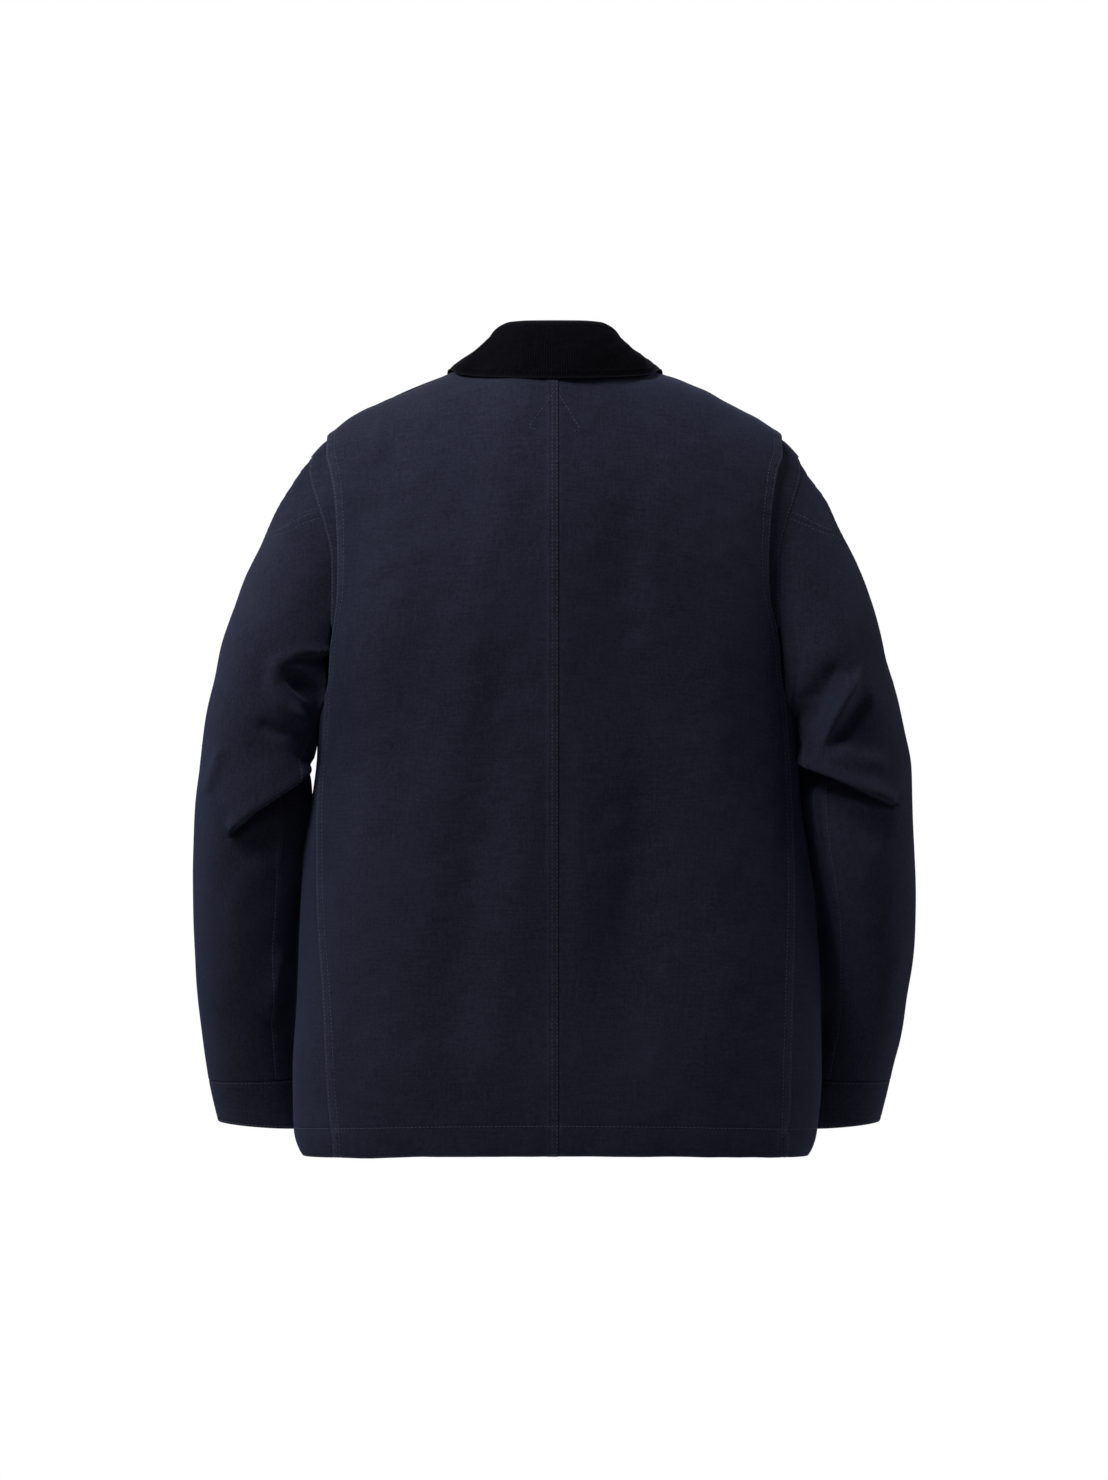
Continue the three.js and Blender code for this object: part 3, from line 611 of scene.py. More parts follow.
@dataclass
class ClothGrid:
    """A piece of cloth as a grid of points, columns across and rows along.

    Attributes:
        points: Rows by columns by three.
        normals: Outward directions of the same shape.
        turn: 1 or -1, the way in which faces look outward.
    """

    points: Array
    normals: Array
    turn: int

    def __post_init__(self) -> None:
        """Measures the distances along the cloth and starts with no relief."""
        self.across = self.lengths(1)
        self.along = self.lengths(0)
        self.raised = np.zeros(self.across.shape)
        # Mask of lighter edges and seams: partly wear, partly painted highlight.
        self.rub = np.zeros(self.across.shape)
        self.plain = self.points.copy()

    def lengths(self, axis: int) -> Array:
        """Distance along the cloth from the first column or row.

        Args:
            axis: 0 to go from row to row, 1 from column to column.

        Returns:
            Millimetres at each point of the grid.
        """
        steps = np.linalg.norm(np.diff(self.points, axis=axis), axis=-1)
        pad = ((0, 0), (1, 0)) if axis else ((1, 0), (0, 0))
        return np.cumsum(np.pad(steps, pad), axis=axis)

    @property
    def from_far_edge(self) -> Array:
        """Distance from the last column."""
        return self.across[:, -1:] - self.across

    @property
    def from_last_row(self) -> Array:
        """Distance from the last row."""
        return self.along[-1:] - self.along

    def lift(self, height: Array) -> None:
        """Moves the cloth outward."""
        self.raised = self.raised + height
        self.points = self.plain + self.normals * self.raised[..., None]

    def row(self, away: Array, distance: float, run: Run, start: float = 0, end: float = 1) -> tuple:
        """A line on the cloth at one distance, with the directions out of it.

        Args:
            away: Distance that is measured, for each point of the grid.
            distance: The distance to keep.
            run: Whether the line runs down the rows or across the columns.
            start: The share of the rows or columns at which the line starts.
            end: The share at which it ends.

        Returns:
            Points and directions.
        """
        points, normals, away = self.points, self.normals, away
        if run is Run.ACROSS:
            points, normals, away = points.swapaxes(0, 1), normals.swapaxes(0, 1), away.T
        count = len(points)
        line, out = [], []
        for j in range(int(start * (count - 1)), int(end * (count - 1)) + 1):
            order = np.argsort(away[j])
            pick = [np.interp(distance, away[j][order], points[j][order, k]) for k in range(3)]
            line.append(pick)
            out.append([np.interp(distance, away[j][order], normals[j][order, k]) for k in range(3)])
        return np.array(line), unit(np.array(out))

    def mesh(self, name: str, thickness: Array, cut: Array | None = None) -> bpy.types.Object:
        """A closed wall whose outer face is the grid.

        Args:
            name: The object's name.
            thickness: The wall at each point in millimetres.
            cut: Which of the grid's squares are left out.

        Returns:
            The object, in the scene.
        """
        rows, columns = self.across.shape
        inner = self.points - self.normals * np.broadcast_to(thickness, self.across.shape)[..., None]
        corner = (np.arange(rows - 1)[:, None] * columns + np.arange(columns - 1)).ravel()
        if cut is not None:
            corner = corner[~cut.ravel()]
        quads = np.stack([corner, corner + 1, corner + columns + 1, corner + columns], axis=1)
        if self.turn < 0:
            quads = quads[:, ::-1]
        base = rows * columns
        sides = np.concatenate([quads[:, [k, (k + 1) % 4]] for k in range(4)])
        key, back = sides[:, 0] * base + sides[:, 1], sides[:, 1] * base + sides[:, 0]
        rim = sides[~np.isin(key, back)]
        walls = np.stack([rim[:, 0], rim[:, 0] + base, rim[:, 1] + base, rim[:, 1]], axis=1)
        faces = np.concatenate([quads, quads[:, ::-1] + base, walls])
        used, faces = np.unique(faces, return_inverse=True)
        faces = faces.reshape(-1, 4)
        points = np.concatenate([self.points.reshape(-1, 3), inner.reshape(-1, 3)])[used] * MM
        data = bpy.data.meshes.new(name)
        data.from_pydata(points.tolist(), [], faces.tolist())
        flat = np.stack([self.across.ravel(), self.along.ravel()], axis=1) * MM
        flat = np.concatenate([flat, flat])[used]
        layer = data.uv_layers.new(name="cloth")
        layer.uv.foreach_set("vector", flat[faces.ravel()].ravel())
        # The per-point mask that lightens edges and seams, partly as wear and partly as painted highlight.
        rub = data.attributes.new("rub", "FLOAT", "POINT")
        rub.data.foreach_set("value", np.concatenate([self.rub.ravel()] * 2)[used])
        self.sharpen(data, used, np.concatenate([rim, rim + base]), base)
        data.shade_smooth()
        data.validate()
        obj = bpy.data.objects.new(name, data)
        bpy.context.scene.collection.objects.link(obj)
        return obj

    @staticmethod
    def sharpen(data: bpy.types.Mesh, used: Array, rim: Array, base: int) -> None:
        """Keeps the shading of the cloth's faces apart from its cut edges.

        Args:
            data: The mesh.
            used: The grid number of each of the mesh's points.
            rim: Pairs of grid numbers along the edges of both faces.
            base: How many points one face has.
        """
        ends = np.empty(len(data.edges) * 2, dtype=int)
        data.edges.foreach_get("vertices", ends)
        ends = np.sort(used[ends.reshape(-1, 2)], axis=1)
        rim = np.sort(rim, axis=1)
        sharp = np.isin(ends[:, 0] * 2 * base + ends[:, 1], rim[:, 0] * 2 * base + rim[:, 1])
        mark = data.attributes.new("sharp_edge", "BOOLEAN", "EDGE")
        mark.data.foreach_set("value", sharp)


@dataclass(frozen=True)
class Sewing:
    """Lockstitch topstitching as separate short stitches that dip into the cloth at both ends."""

    pitch: float = 3.6
    length: float = 2.3
    radius: float = 0.3
    sides: int = 5

    def stitches(self, line: Array, normals: Array) -> tuple[Array, Array, Array]:
        """The stitches along one line.

        Args:
            line: Points on the cloth in millimetres.
            normals: Directions out of it.

        Returns:
            Points, four-sided faces and the end faces.
        """
        length = np.concatenate([[0], np.cumsum(np.linalg.norm(np.diff(line, axis=0), axis=1))])
        starts = np.arange(0.4, length[-1] - self.length, self.pitch)
        count = len(starts)

        def at(where: Array, values: Array) -> Array:
            """Values part of the way along the line."""
            return np.stack([np.interp(where, length, values[:, k]) for k in range(3)], axis=-1)

        share = np.array([0, 0.2, 0.8, 1.0])
        high = np.array([-0.12, 0.14, 0.14, -0.12])
        wide = np.array([0.5, 1.0, 1.0, 0.5]) * self.radius
        where = starts[:, None] + share * self.length
        centre = at(where, line)
        out = unit(at(where, normals))
        forward = unit(at(starts + self.length, line) - at(starts, line))[:, None]
        beside = unit(np.cross(forward, out))
        centre = centre + out * high[:, None]
        turn = np.arange(self.sides) / self.sides * 2 * math.pi
        ring = beside[:, :, None] * np.cos(turn)[:, None] + out[:, :, None] * np.sin(turn)[:, None]
        points = centre[:, :, None] + ring * wide[:, None, None]
        k = np.arange(self.sides)
        one = np.concatenate([
            np.stack([r * self.sides + k, r * self.sides + (k + 1) % self.sides,
                      (r + 1) * self.sides + (k + 1) % self.sides, (r + 1) * self.sides + k], axis=1)
            for r in range(3)
        ])
        caps = np.stack([k[::-1], 3 * self.sides + k])
        step = (np.arange(count) * 4 * self.sides)[:, None, None]
        return (points.reshape(-1, 3), (one[None] + step).reshape(-1, 4),
                (caps[None] + step).reshape(-1, self.sides))

    def mesh(self, name: str, lines: list[tuple[Array, Array]]) -> bpy.types.Object:
        """All the stitches of one piece as one object.

        Args:
            name: The name of the new piece.
            lines: The points and the outward directions of each row.

        Returns:
            The new object.
        """
        points: list[Array] = []
        faces: list[list[int]] = []
        total = 0
        for line, normals in lines:
            some, quads, caps = self.stitches(line, normals)
            points.append(some)
            faces += (quads + total).tolist() + (caps + total).tolist()
            total += len(some)
        data = bpy.data.meshes.new(name)
        data.from_pydata((np.concatenate(points) * MM).tolist(), [], faces)
        data.shade_smooth()
        obj = bpy.data.objects.new(name, data)
        bpy.context.scene.collection.objects.link(obj)
        return obj


SEWING = Sewing()


class NodeSheet:
    """Adds nodes to a material or a node group in a few words."""

    def __init__(self, tree: bpy.types.NodeTree) -> None:
        """Starts on a tree."""
        self.tree = tree

    def add(self, kind: str, **values: object) -> bpy.types.Node:
        """A node, with its properties and its inputs' values or links.

        Args:
            kind: The node's class name after ShaderNode.
            **values: Properties by name, and inputs by name with spaces as underscores.

        Returns:
            The node.
        """
        node = self.tree.nodes.new("ShaderNode" + kind)
        for name, value in values.items():
            if hasattr(node, name):
                setattr(node, name, value)
                continue
            index = int(name[2:]) if name[:2] == "in" and name[2:].isdigit() else name.replace("_", " ")
            socket = node.inputs[index]
            if isinstance(value, bpy.types.NodeSocket):
                self.tree.links.new(value, socket)
            else:
                socket.default_value = value
        return node

    def math(self, operation: str, a: object, b: object = 0.0) -> bpy.types.NodeSocket:
        """The result of a Math node."""
        return self.add("Math", operation=operation, in0=a, in1=b).outputs[0]


def node_group(name: str, inputs: dict[str, tuple[str, float]], outputs: list[str]) -> tuple:
    """A shader node group with named sockets.

    Args:
        name: The group's name.
        inputs: Each input's kind, Float or Vector, and its first value.
        outputs: Names of the values that it gives out.

    Returns:
        The sheet to add nodes with, its input node and its output node.
    """
    tree = bpy.data.node_groups.new(name, "ShaderNodeTree")
    for label, (kind, value) in inputs.items():
        socket = tree.interface.new_socket(label, in_out="INPUT", socket_type=f"NodeSocket{kind}")
        if kind == "Float":
            socket.default_value = value
    for label in outputs:
        tree.interface.new_socket(label, in_out="OUTPUT", socket_type="NodeSocketFloat")
    sheet = NodeSheet(tree)
    return sheet, tree.nodes.new("NodeGroupInput"), tree.nodes.new("NodeGroupOutput")


def plain_weave_group() -> bpy.types.NodeTree:
    """Warp over weft threads by turns: gives their height and the grain of single threads.

    Returns:
        The node group.
    """
    sheet, given, out = node_group(
        "plain weave", {"Cloth": ("Vector", 0), "Threads": ("Float", 1400), "Slub": ("Float", 0.5)},
        ["Height", "Grain"])
    split = sheet.add("SeparateXYZ", Vector=given.outputs["Cloth"])
    u = sheet.math("MULTIPLY", split.outputs["X"], given.outputs["Threads"])
    v = sheet.math("MULTIPLY", split.outputs["Y"], given.outputs["Threads"])
    sines = [sheet.math("SINE", sheet.math("MULTIPLY", w, math.pi)) for w in (u, v)]
    warp, weft = (sheet.math("ABSOLUTE", s) for s in sines)
    over = sheet.math("GREATER_THAN", sheet.math("MULTIPLY", *sines), 0.0)
    height = sheet.add("Mix", data_type="FLOAT", in0=over, in2=weft, in3=warp).outputs[0]
    threads = []
    for stretch in ((900, 45, 1), (45, 520, 1)):
        place = sheet.add("VectorMath", operation="MULTIPLY", in0=given.outputs["Cloth"], in1=stretch)
        noise = sheet.add("TexNoise", Vector=place.outputs[0], Scale=1.0, Detail=1.0)
        threads.append(noise.outputs["Fac"])
    grain = sheet.math("MULTIPLY", sheet.math("ADD", *threads), 0.5)
    rough = sheet.math("MULTIPLY", grain, given.outputs["Slub"])
    sheet.tree.links.new(sheet.math("ADD", height, rough), out.inputs["Height"])
    sheet.tree.links.new(grain, out.inputs["Grain"])
    return sheet.tree


def heather_group() -> bpy.types.NodeTree:
    """Uneven dye: small brushed flecks and slow clouds.

    Returns:
        The node group.
    """
    sheet, given, out = node_group(
        "heather", {"Place": ("Vector", 0), "Fleck": ("Float", 430), "Cloud": ("Float", 7)},
        ["Flecks", "Clouds"])
    for name, socket, detail in (("Flecks", "Fleck", 3.0), ("Clouds", "Cloud", 4.0)):
        noise = sheet.add("TexNoise", Vector=given.outputs["Place"], Scale=given.outputs[socket],
                          Detail=detail, Roughness=0.62)
        sheet.tree.links.new(noise.outputs["Fac"], out.inputs[name])
    return sheet.tree


def wear_and_highlight_group() -> bpy.types.NodeTree:
    """Wear and painted highlight along edges and seams, broken up by the grain of the cloth.

    Returns:
        The node group.
    """
    sheet, given, out = node_group(
        "rubbed edges", {"Place": ("Vector", 0), "Rub": ("Float", 0), "Break": ("Float", 0.6)}, ["Mask"])
    noise = sheet.add("TexNoise", Vector=given.outputs["Place"], Scale=260.0, Detail=3.0)
    broken = sheet.math("MULTIPLY", noise.outputs["Fac"], given.outputs["Break"])
    kept = sheet.math("SUBTRACT", given.outputs["Rub"], sheet.math("MULTIPLY", broken, 0.8))
    mask = sheet.add("Clamp", Value=sheet.math("MULTIPLY", kept, 1.6)).outputs[0]
    sheet.tree.links.new(mask, out.inputs["Mask"])
    return sheet.tree


@dataclass(frozen=True)
class Finish:
    """What a surface is made of: colours in linear light, and how the cloth takes it."""

    name: str
    dark: tuple[float, float, float]
    light: tuple[float, float, float]
    # Colour of the lighter edges and seams: partly wear, partly painted highlight.
    lit_and_worn: tuple[float, float, float]
    roughness: float
    sheen: float
    sheen_tint: tuple[float, float, float]
    threads: float
    relief: float
    sheen_roughness: float = 0.5
    specular: float = 0.25

    def material(self, groups: dict[str, bpy.types.NodeTree]) -> bpy.types.Material:
        """The finish as a material.

        Args:
            groups: The shared node groups by name.

        Returns:
            The material.
        """
        material = bpy.data.materials.new(self.name)
        material.use_nodes = True
        tree = material.node_tree
        tree.nodes.clear()
        sheet = NodeSheet(tree)
        cloth = sheet.add("UVMap", uv_map="cloth").outputs[0]
        place = sheet.add("TexCoord").outputs["Object"]
        rub = sheet.add("Attribute", attribute_name="rub").outputs["Fac"]
        weave = sheet.add("Group", node_tree=groups["plain weave"], Cloth=cloth,
                          Threads=self.threads, Slub=0.6)
        dye = sheet.add("Group", node_tree=groups["heather"], Place=place)
        # This group's mask lightens edges and seams: partly wear, partly painted highlight.
        worn = sheet.add("Group", node_tree=groups["rubbed edges"], Place=place, Rub=rub)
        fleck = sheet.add("MapRange", Value=dye.outputs["Flecks"], From_Min=0.32, From_Max=0.68,
                          To_Min=0.08, To_Max=0.92)
        cloud = sheet.add("MapRange", Value=dye.outputs["Clouds"], From_Min=0.3, From_Max=0.7,
                          To_Min=-0.3, To_Max=0.3)
        tone = sheet.math("ADD", fleck.outputs[0], cloud.outputs[0])
        slub = sheet.add("MapRange", Value=weave.outputs["Grain"], From_Min=0.35, From_Max=0.65,
                         To_Min=-0.25, To_Max=0.3)
        tone = sheet.math("ADD", tone, slub.outputs[0])
        dyed = sheet.add("Mix", data_type="RGBA", in0=tone, in6=(*self.dark, 1), in7=(*self.light, 1))
        colour = sheet.add("Mix", data_type="RGBA", in0=worn.outputs["Mask"], in6=dyed.outputs[2],
                           in7=(*self.lit_and_worn, 1))
        rough = sheet.add("MapRange", Value=dye.outputs["Flecks"], To_Min=self.roughness - 0.06,
                          To_Max=min(1.0, self.roughness + 0.05))
        high = sheet.math("ADD", sheet.math("MULTIPLY", weave.outputs["Height"], 0.5), dye.outputs["Flecks"])
        raised = sheet.add("Bump", Strength=self.relief, Distance=0.0004, Height=high)
        shader = sheet.add("BsdfPrincipled", Base_Color=colour.outputs[2], Roughness=rough.outputs[0],
                           Normal=raised.outputs[0], Sheen_Weight=self.sheen,
                           Sheen_Roughness=self.sheen_roughness, Sheen_Tint=(*self.sheen_tint, 1),
                           Specular_IOR_Level=self.specular)
        end = sheet.add("OutputMaterial")
        tree.links.new(shader.outputs[0], end.inputs[0])
        return material


# Each finish's third colour lightens edges, seams, the collar's roll and the wale tops: partly wear, partly
# painted highlight.
CANVAS = Finish("navy_canvas", (0.009, 0.0093, 0.0178), (0.0168, 0.0177, 0.0325), (0.03, 0.034, 0.058),
                0.95, 0.06, (0.35, 0.45, 1.0), 1250, 0.6, 0.5, 0.08)
CORDUROY = Finish("black_corduroy", (0.0006, 0.0005, 0.001), (0.002, 0.0018, 0.003), (0.0105, 0.0095, 0.0135),
                  0.95, 0.05, (0.5, 0.5, 0.7), 1700, 0.35, 0.35, 0.03)
THREAD = Finish("navy_thread", (0.028, 0.033, 0.048), (0.044, 0.052, 0.074), (0.046, 0.054, 0.076),
                0.7, 0.1, (0.6, 0.65, 0.8), 3000, 0.2)
HORN = Finish("dark_horn", (0.004, 0.004, 0.005), (0.011, 0.01, 0.012), (0.03, 0.03, 0.03),
              0.34, 0.0, (1, 1, 1), 300, 0.05, 0.5, 0.5)


class Wardrobe:
    """Makes each finish once and dresses pieces in it."""

    def __init__(self) -> None:
        """Builds the shared node groups and the materials."""
        groups = {tree.name: tree for tree in (plain_weave_group(), heather_group(), wear_and_highlight_group())}
        self.made = {finish.name: finish.material(groups) for finish in (CANVAS, CORDUROY, THREAD, HORN)}

    def dress(self, obj: bpy.types.Object, finish: Finish, *nodes: str, stands: bool = True) -> None:
        """Gives a piece its finish and its place in the frame.

        Args:
            obj: The piece.
            finish: What it is made of.
            *nodes: The CAD nodes that it belongs to.
            stands: Whether it stands for those nodes or only lies on them.
        """
        obj.data.materials.append(self.made[finish.name])
        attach(obj, "root")
        if stands:
            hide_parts(*nodes)
        LOG.info("%s: %d faces", obj.name, len(obj.data.polygons))


def seam_trough(away: Array, depth: float = 0.4, width: float = 1.3) -> Array:
    """The dent that a row of stitches pulls into the cloth."""
    return -depth * bump(away, width)


def pucker(away: Array, along: Array, seed: int, height: float = 0.35, reach: float = 7) -> Array:
    """Small waves that cross a seam, strongest at it."""
    wave = waves(along, along * 0 + away * 0.35, 11, seed)
    return height * wave * np.exp(-(away / reach) ** 2)


def columns_by_distance(width: float, near: list[float], far: list[float], step: float) -> Array:
    """Shares of a width: given distances from both ends, and even steps between them.

    Args:
        width: The whole width in millimetres.
        near: Distances from the first column.
        far: Distances from the last column.
        step: The even step between.

    Returns:
        Rising shares from 0 to 1.
    """
    start, end = max(near), width - max(far)
    count = max(2, round((end - start) / step))
    between = np.linspace(start, end, count + 1)[1:-1]
    places = [*near, *between.tolist(), *(width - d for d in far)]
    return np.unique(np.round(np.array(places) / width, 6))


NEAR_SEAM = [0, 0.5, 1, 1.4, 1.8, 2.3, 2.8, 3.6, 4.6, 5.8, 6.9, 7.6, 8.2, 8.7, 9.2, 10, 11.5, 13.5, 16]


@dataclass
class BackPanel:
    """One half of the back, from the centre seam to the side seam and the pleat's fold."""

    side: Side
    cloth: float = 1.8
    fell: float = 3.0
    fell_rise: float = 1.25
    hem_depth: float = 26.6
    cut: tuple[float, float] = (0.245, 0.745)
    area: float = 0.166
    drape: tuple[Crease, ...] = (
        Crease(((62, -120), (74, -380), (70, -660)), -7, 44),
        Crease(((140, -200), (146, -520), (138, -690)), 4.4, 40),
        Crease(((22, -330), (18, -640)), 2.4, 22),
        Crease(((158, -50), (160, -100)), 1.2, 9),
    )
    light_side: tuple[Crease, ...] = (
        Crease(((150, -150), (158, -400), (150, -600)), 3.6, 40),
        Crease(((44, -220), (60, -400), (96, -690)), -4.2, 36),
        Crease(((110, -300), (118, -560)), 2.0, 30),
        Crease(((158, -52), (160, -92)), 1.3, 8),
    )

    def edge(self, z: Array) -> Array:
        """The angle of the outer edge: the side seam, and the fold above the underarm.

        Args:
            z: Heights.

        Returns:
            Angles in radians from the centre back.
        """
        word = self.side.word
        x = np.where(z < TORSO.underarm_z, SEAMS.at(f"seam_{word}", z), SEAMS.at(f"fold_{word}", z))
        return TORSO.angle_at(self.side, x, z, False) - 0.001

    def surface(self, u: Array, v: Array) -> Array:
        """Points of the panel.

        Args:
            u: Share across the piece, from 0 to 1.
            v: Share along the piece, from 0 to 1.

        Returns:
            Points in millimetres.
        """
        start = -self.fell if self.side is Side.LEFT else TORSO.seam_gap / 2

        def angle_of(z: Array) -> Array:
            """The angle of each column at given heights."""
            return mix(start / TORSO.half_width(self.side, z), self.edge(z), u)

        word = f"seam_{self.side.word}"
        under = np.array(TORSO.underarm_z)
        share = (under - TORSO.hem_z) / (TORSO.ridge(SEAMS.at(word, under)) - TORSO.hem_z)
        level = mix(0.68, share, u)
        v = np.where(v < 0.68, v * level / 0.68, mix(1, level, (1 - v) / 0.32))
        p = TORSO.settle(self.side, angle_of, v * TORSO.tops(self.side, angle_of, v))
        p[..., 1] = np.where(v > 0.9, np.minimum(p[..., 1], -TORSO.seam_gap / 2), p[..., 1])
        return p

    def relief(self, grid: ClothGrid) -> None:
        """Drape, seams, hem and puckers.

        Args:
            grid: The grid of the panel, which is lifted.
        """
        x, z = EYE.seen(grid.plain)
        edge = grid.from_far_edge
        centre = np.abs(grid.plain[..., 0])
        folds = self.light_side if self.side is Side.LEFT else self.drape
        inner = ease(2, 30, edge) * ease(0, 24, centre)
        lift = sum(f.lift(x, z) for f in folds) * inner
        signed = grid.plain[..., 0]
        lift = lift + (1.7 * waves(signed, z * 0.45, 96, 5) + 0.35 * waves(signed, z, 30, 8)) * inner
        lift = lift + seam_trough(z + 357, 0.3, 3) * ease(170, 130, centre)
        if self.side is Side.LEFT:
            over = grid.across
            lift = lift + self.fell_rise * ease(12, 7.6, over)
            lift = lift - 0.45 * bump(over, 0.9)
            for distance in (1.4, 5.6):
                lift = lift + seam_trough(over - distance, 0.42, 1.0)
            lift = lift + pucker(over - 3.5, grid.along, 31, 0.22, 5) * ease(0, 1, over)
        for distance in (1.8, 9.2):
            lift = lift + seam_trough(edge - distance, 0.4, 1.0)
        lift = lift + pucker(edge - 5, grid.along, 33 + self.side.sign, 0.3, 6) * ease(0, 2, edge)
        lift = lift - 0.5 * bump(edge, 0.9) * ease(-302, -280, z)
        lift = lift + seam_trough(grid.along - self.hem_depth, 0.5, 1.5)
        lift = lift + pucker(grid.along - 20, grid.across, 35, 0.4, 15)
        grid.lift(lift)
        # Lighter along the side edge, the stitch rows and the hem: partly wear, partly painted highlight.
        row_wear_and_highlight = bump(edge - 5, 9) * 0.35 + bump(grid.across - 3.5, 7) * 0.3
        grid.rub = 0.75 * bump(edge, 1.6) + row_wear_and_highlight + 0.8 * bump(grid.along, 2.5)
        grid.rub += 0.3 * bump(grid.along - self.hem_depth, 4)

    def build(self, wardrobe: Wardrobe) -> None:
        """Makes the panel and its sewing.

        Args:
            wardrobe: Dresses the pieces in place of their nodes.
        """
        us = columns_by_distance(226, NEAR_SEAM, NEAR_SEAM, 3.6)
        near_hem = [0, 0.8, 2, 4, 7, 11, 16, 21, 24, 25.6, 26.6, 27.6, 29, 32]
        low = 0.68 * columns_by_distance(411, near_hem, [0, 3], 3.6)
        high = mix(0.68, 1, 1 - (1 - np.linspace(0, 1, 84)) ** 1.5)
        u, v = np.meshgrid(us, np.concatenate([low, high[1:]]))
        points = self.surface(u, v)
        normals = TORSO.normal(self.side, points)
        normals[..., 1] = np.where(np.abs(points[..., 1]) < 0.3, 0, normals[..., 1])
        normals[..., 0] = np.where(np.abs(points[..., 0]) < 3.2, 0, normals[..., 0])
        grid = ClothGrid(points, unit(normals), self.side.sign)
        self.relief(grid)
        thick = np.where(grid.along < self.hem_depth, 2.8, self.cloth)
        fold = (grid.from_far_edge < 16) & (v > 0.66)
        thick = np.where(fold, 3.0, thick)
        if self.side is Side.LEFT:
            thick = np.where(grid.across < 7.6, 1.1, thick)
        obj = grid.mesh(f"cloth_back_{self.side.word}", thick)
        wardrobe.dress(obj, CANVAS, f"back_{self.side.word}")
        lines = [grid.row(grid.from_far_edge, d, Run.DOWN, 0.004) for d in (1.8, 9.2)]
        lines.append(grid.row(grid.along, self.hem_depth, Run.ACROSS))
        if self.side is Side.LEFT:
            lines += [grid.row(grid.across, d, Run.DOWN, 0.004) for d in (1.4, 5.6)]
        lines += self.patch(grid)
        sewing = SEWING.mesh(f"sewing_back_{self.side.word}", lines)
        wardrobe.dress(sewing, THREAD, f"back_{self.side.word}", stands=False)
        f"front_{self.side.word}"

    def patch(self, grid: ClothGrid) -> list[tuple[Array, Array]]:
        """The stitched triangle at the top of the centre seam.

        Args:
            grid: The panel.

        Returns:
            This half's lines and directions.
        """
        ends = [((0.9, -31), (-23, -64)), ((-23, -64), (-17, -66))]
        if self.side is Side.RIGHT:
            ends = [((1.2, -31), (23.4, -67)), ((23.4, -67), (17, -67.5))]
        lines = []
        for (x0, z0), (x1, z1) in ends:
            share = np.linspace(0.04, 1, 14)
            x, z = mix(x0, x1, share), mix(z0, z1, share)
            p = TORSO.point(self.side, TORSO.angle_at(self.side, np.abs(x), z, False), z)
            out = TORSO.normal(self.side, p)
            flat = grid.plain.reshape(-1, 3)
            near = [np.argmin(np.sum((flat - q) ** 2, axis=1)) for q in p]
            lines.append((p + out * (grid.raised.ravel()[near] + 0.08)[:, None], out))
        return lines


@dataclass
class Gusset:
    """The strip behind the pleat's fold, from the armhole in under the back panel."""

    side: Side
    depth: float = 30
    drop: float = 4.4
    cut: tuple[float, float] = (0.065, 0.25)
    area: float = 0.0137

    def surface(self, u: Array, v: Array) -> Array:
        """Points of the strip.

        Args:
            u: Share across the piece, from 0 to 1.
            v: Share along the piece, from 0 to 1.

        Returns:
            Points in millimetres.
        """
        z = mix(TORSO.underarm_z, -80.0, v)
        x = 0 * z
        for _ in range(10):
            arm = SEAMS.at("arm_back", z) + 0.2
            fold = np.minimum(SEAMS.at(f"fold_{self.side.word}", z) + 0.5, arm - 4)
            x = np.where(u < 0.4, mix(arm, fold, u / 0.4), mix(fold, fold - self.depth, (u - 0.4) / 0.6))
            z = mix(TORSO.underarm_z + 4, TORSO.ridge(x) - 0.03, v)
        p = TORSO.point(self.side, TORSO.angle_at(self.side, x, z, False), z)
        p[..., 1] = np.minimum(p[..., 1], -TORSO.seam_gap / 2)
        return p

    def build(self, wardrobe: Wardrobe) -> None:
        """Makes the strip and the row beside the armhole.

        Args:
            wardrobe: Dresses the pieces in place of their nodes.
        """
        u, v = np.meshgrid(np.concatenate([np.linspace(0, 0.4, 17), np.linspace(0.4, 1, 10)[1:]]),
                           1 - (1 - np.linspace(0, 1, 90)) ** 1.5)
        points = self.surface(u, v)
        normals = TORSO.normal(self.side, points)
        normals[..., 1] = np.where(np.abs(points[..., 1]) < 0.3, 0, normals[..., 1])
        grid = ClothGrid(points, unit(normals), -self.side.sign)
        tuck = np.maximum(ease(0, 0.4, u), ease(TORSO.underarm_z + 70, TORSO.underarm_z + 56, points[..., 2]))
        below_ridge = TORSO.ridge(points[..., 0]) - points[..., 2]
        flush = ease(14, 1, below_ridge) * ease(0.42, 0.3, u)
        lift = -self.drop * tuck * (1 - flush)
        lift = lift - TORSO.step_down(points) * np.maximum(ease(1, 0, u), flush)
        lift = lift + seam_trough(grid.across - 2, 0.3, 1.1)
        lift = lift + pucker(grid.across - 2, grid.along, 41, 0.25, 6) * ease(0.5, 3, grid.across)
        grid.lift(lift)
        # Lighter beside the armhole seam: partly wear, partly painted highlight.
        grid.rub = 0.4 * bump(grid.across - 1, 4)
        obj = grid.mesh(f"cloth_gusset_{self.side.word}", np.full(u.shape, 1.6))
        wardrobe.dress(obj, CANVAS, f"gusset_{self.side.word}")
        lines = [grid.row(grid.across, 2.0, Run.DOWN, 0.02, 0.97)]
        sewing = SEWING.mesh(f"sewing_gusset_{self.side.word}", lines)
        wardrobe.dress(sewing, THREAD, f"gusset_{self.side.word}", stands=False)
        f"front_{self.side.word}"


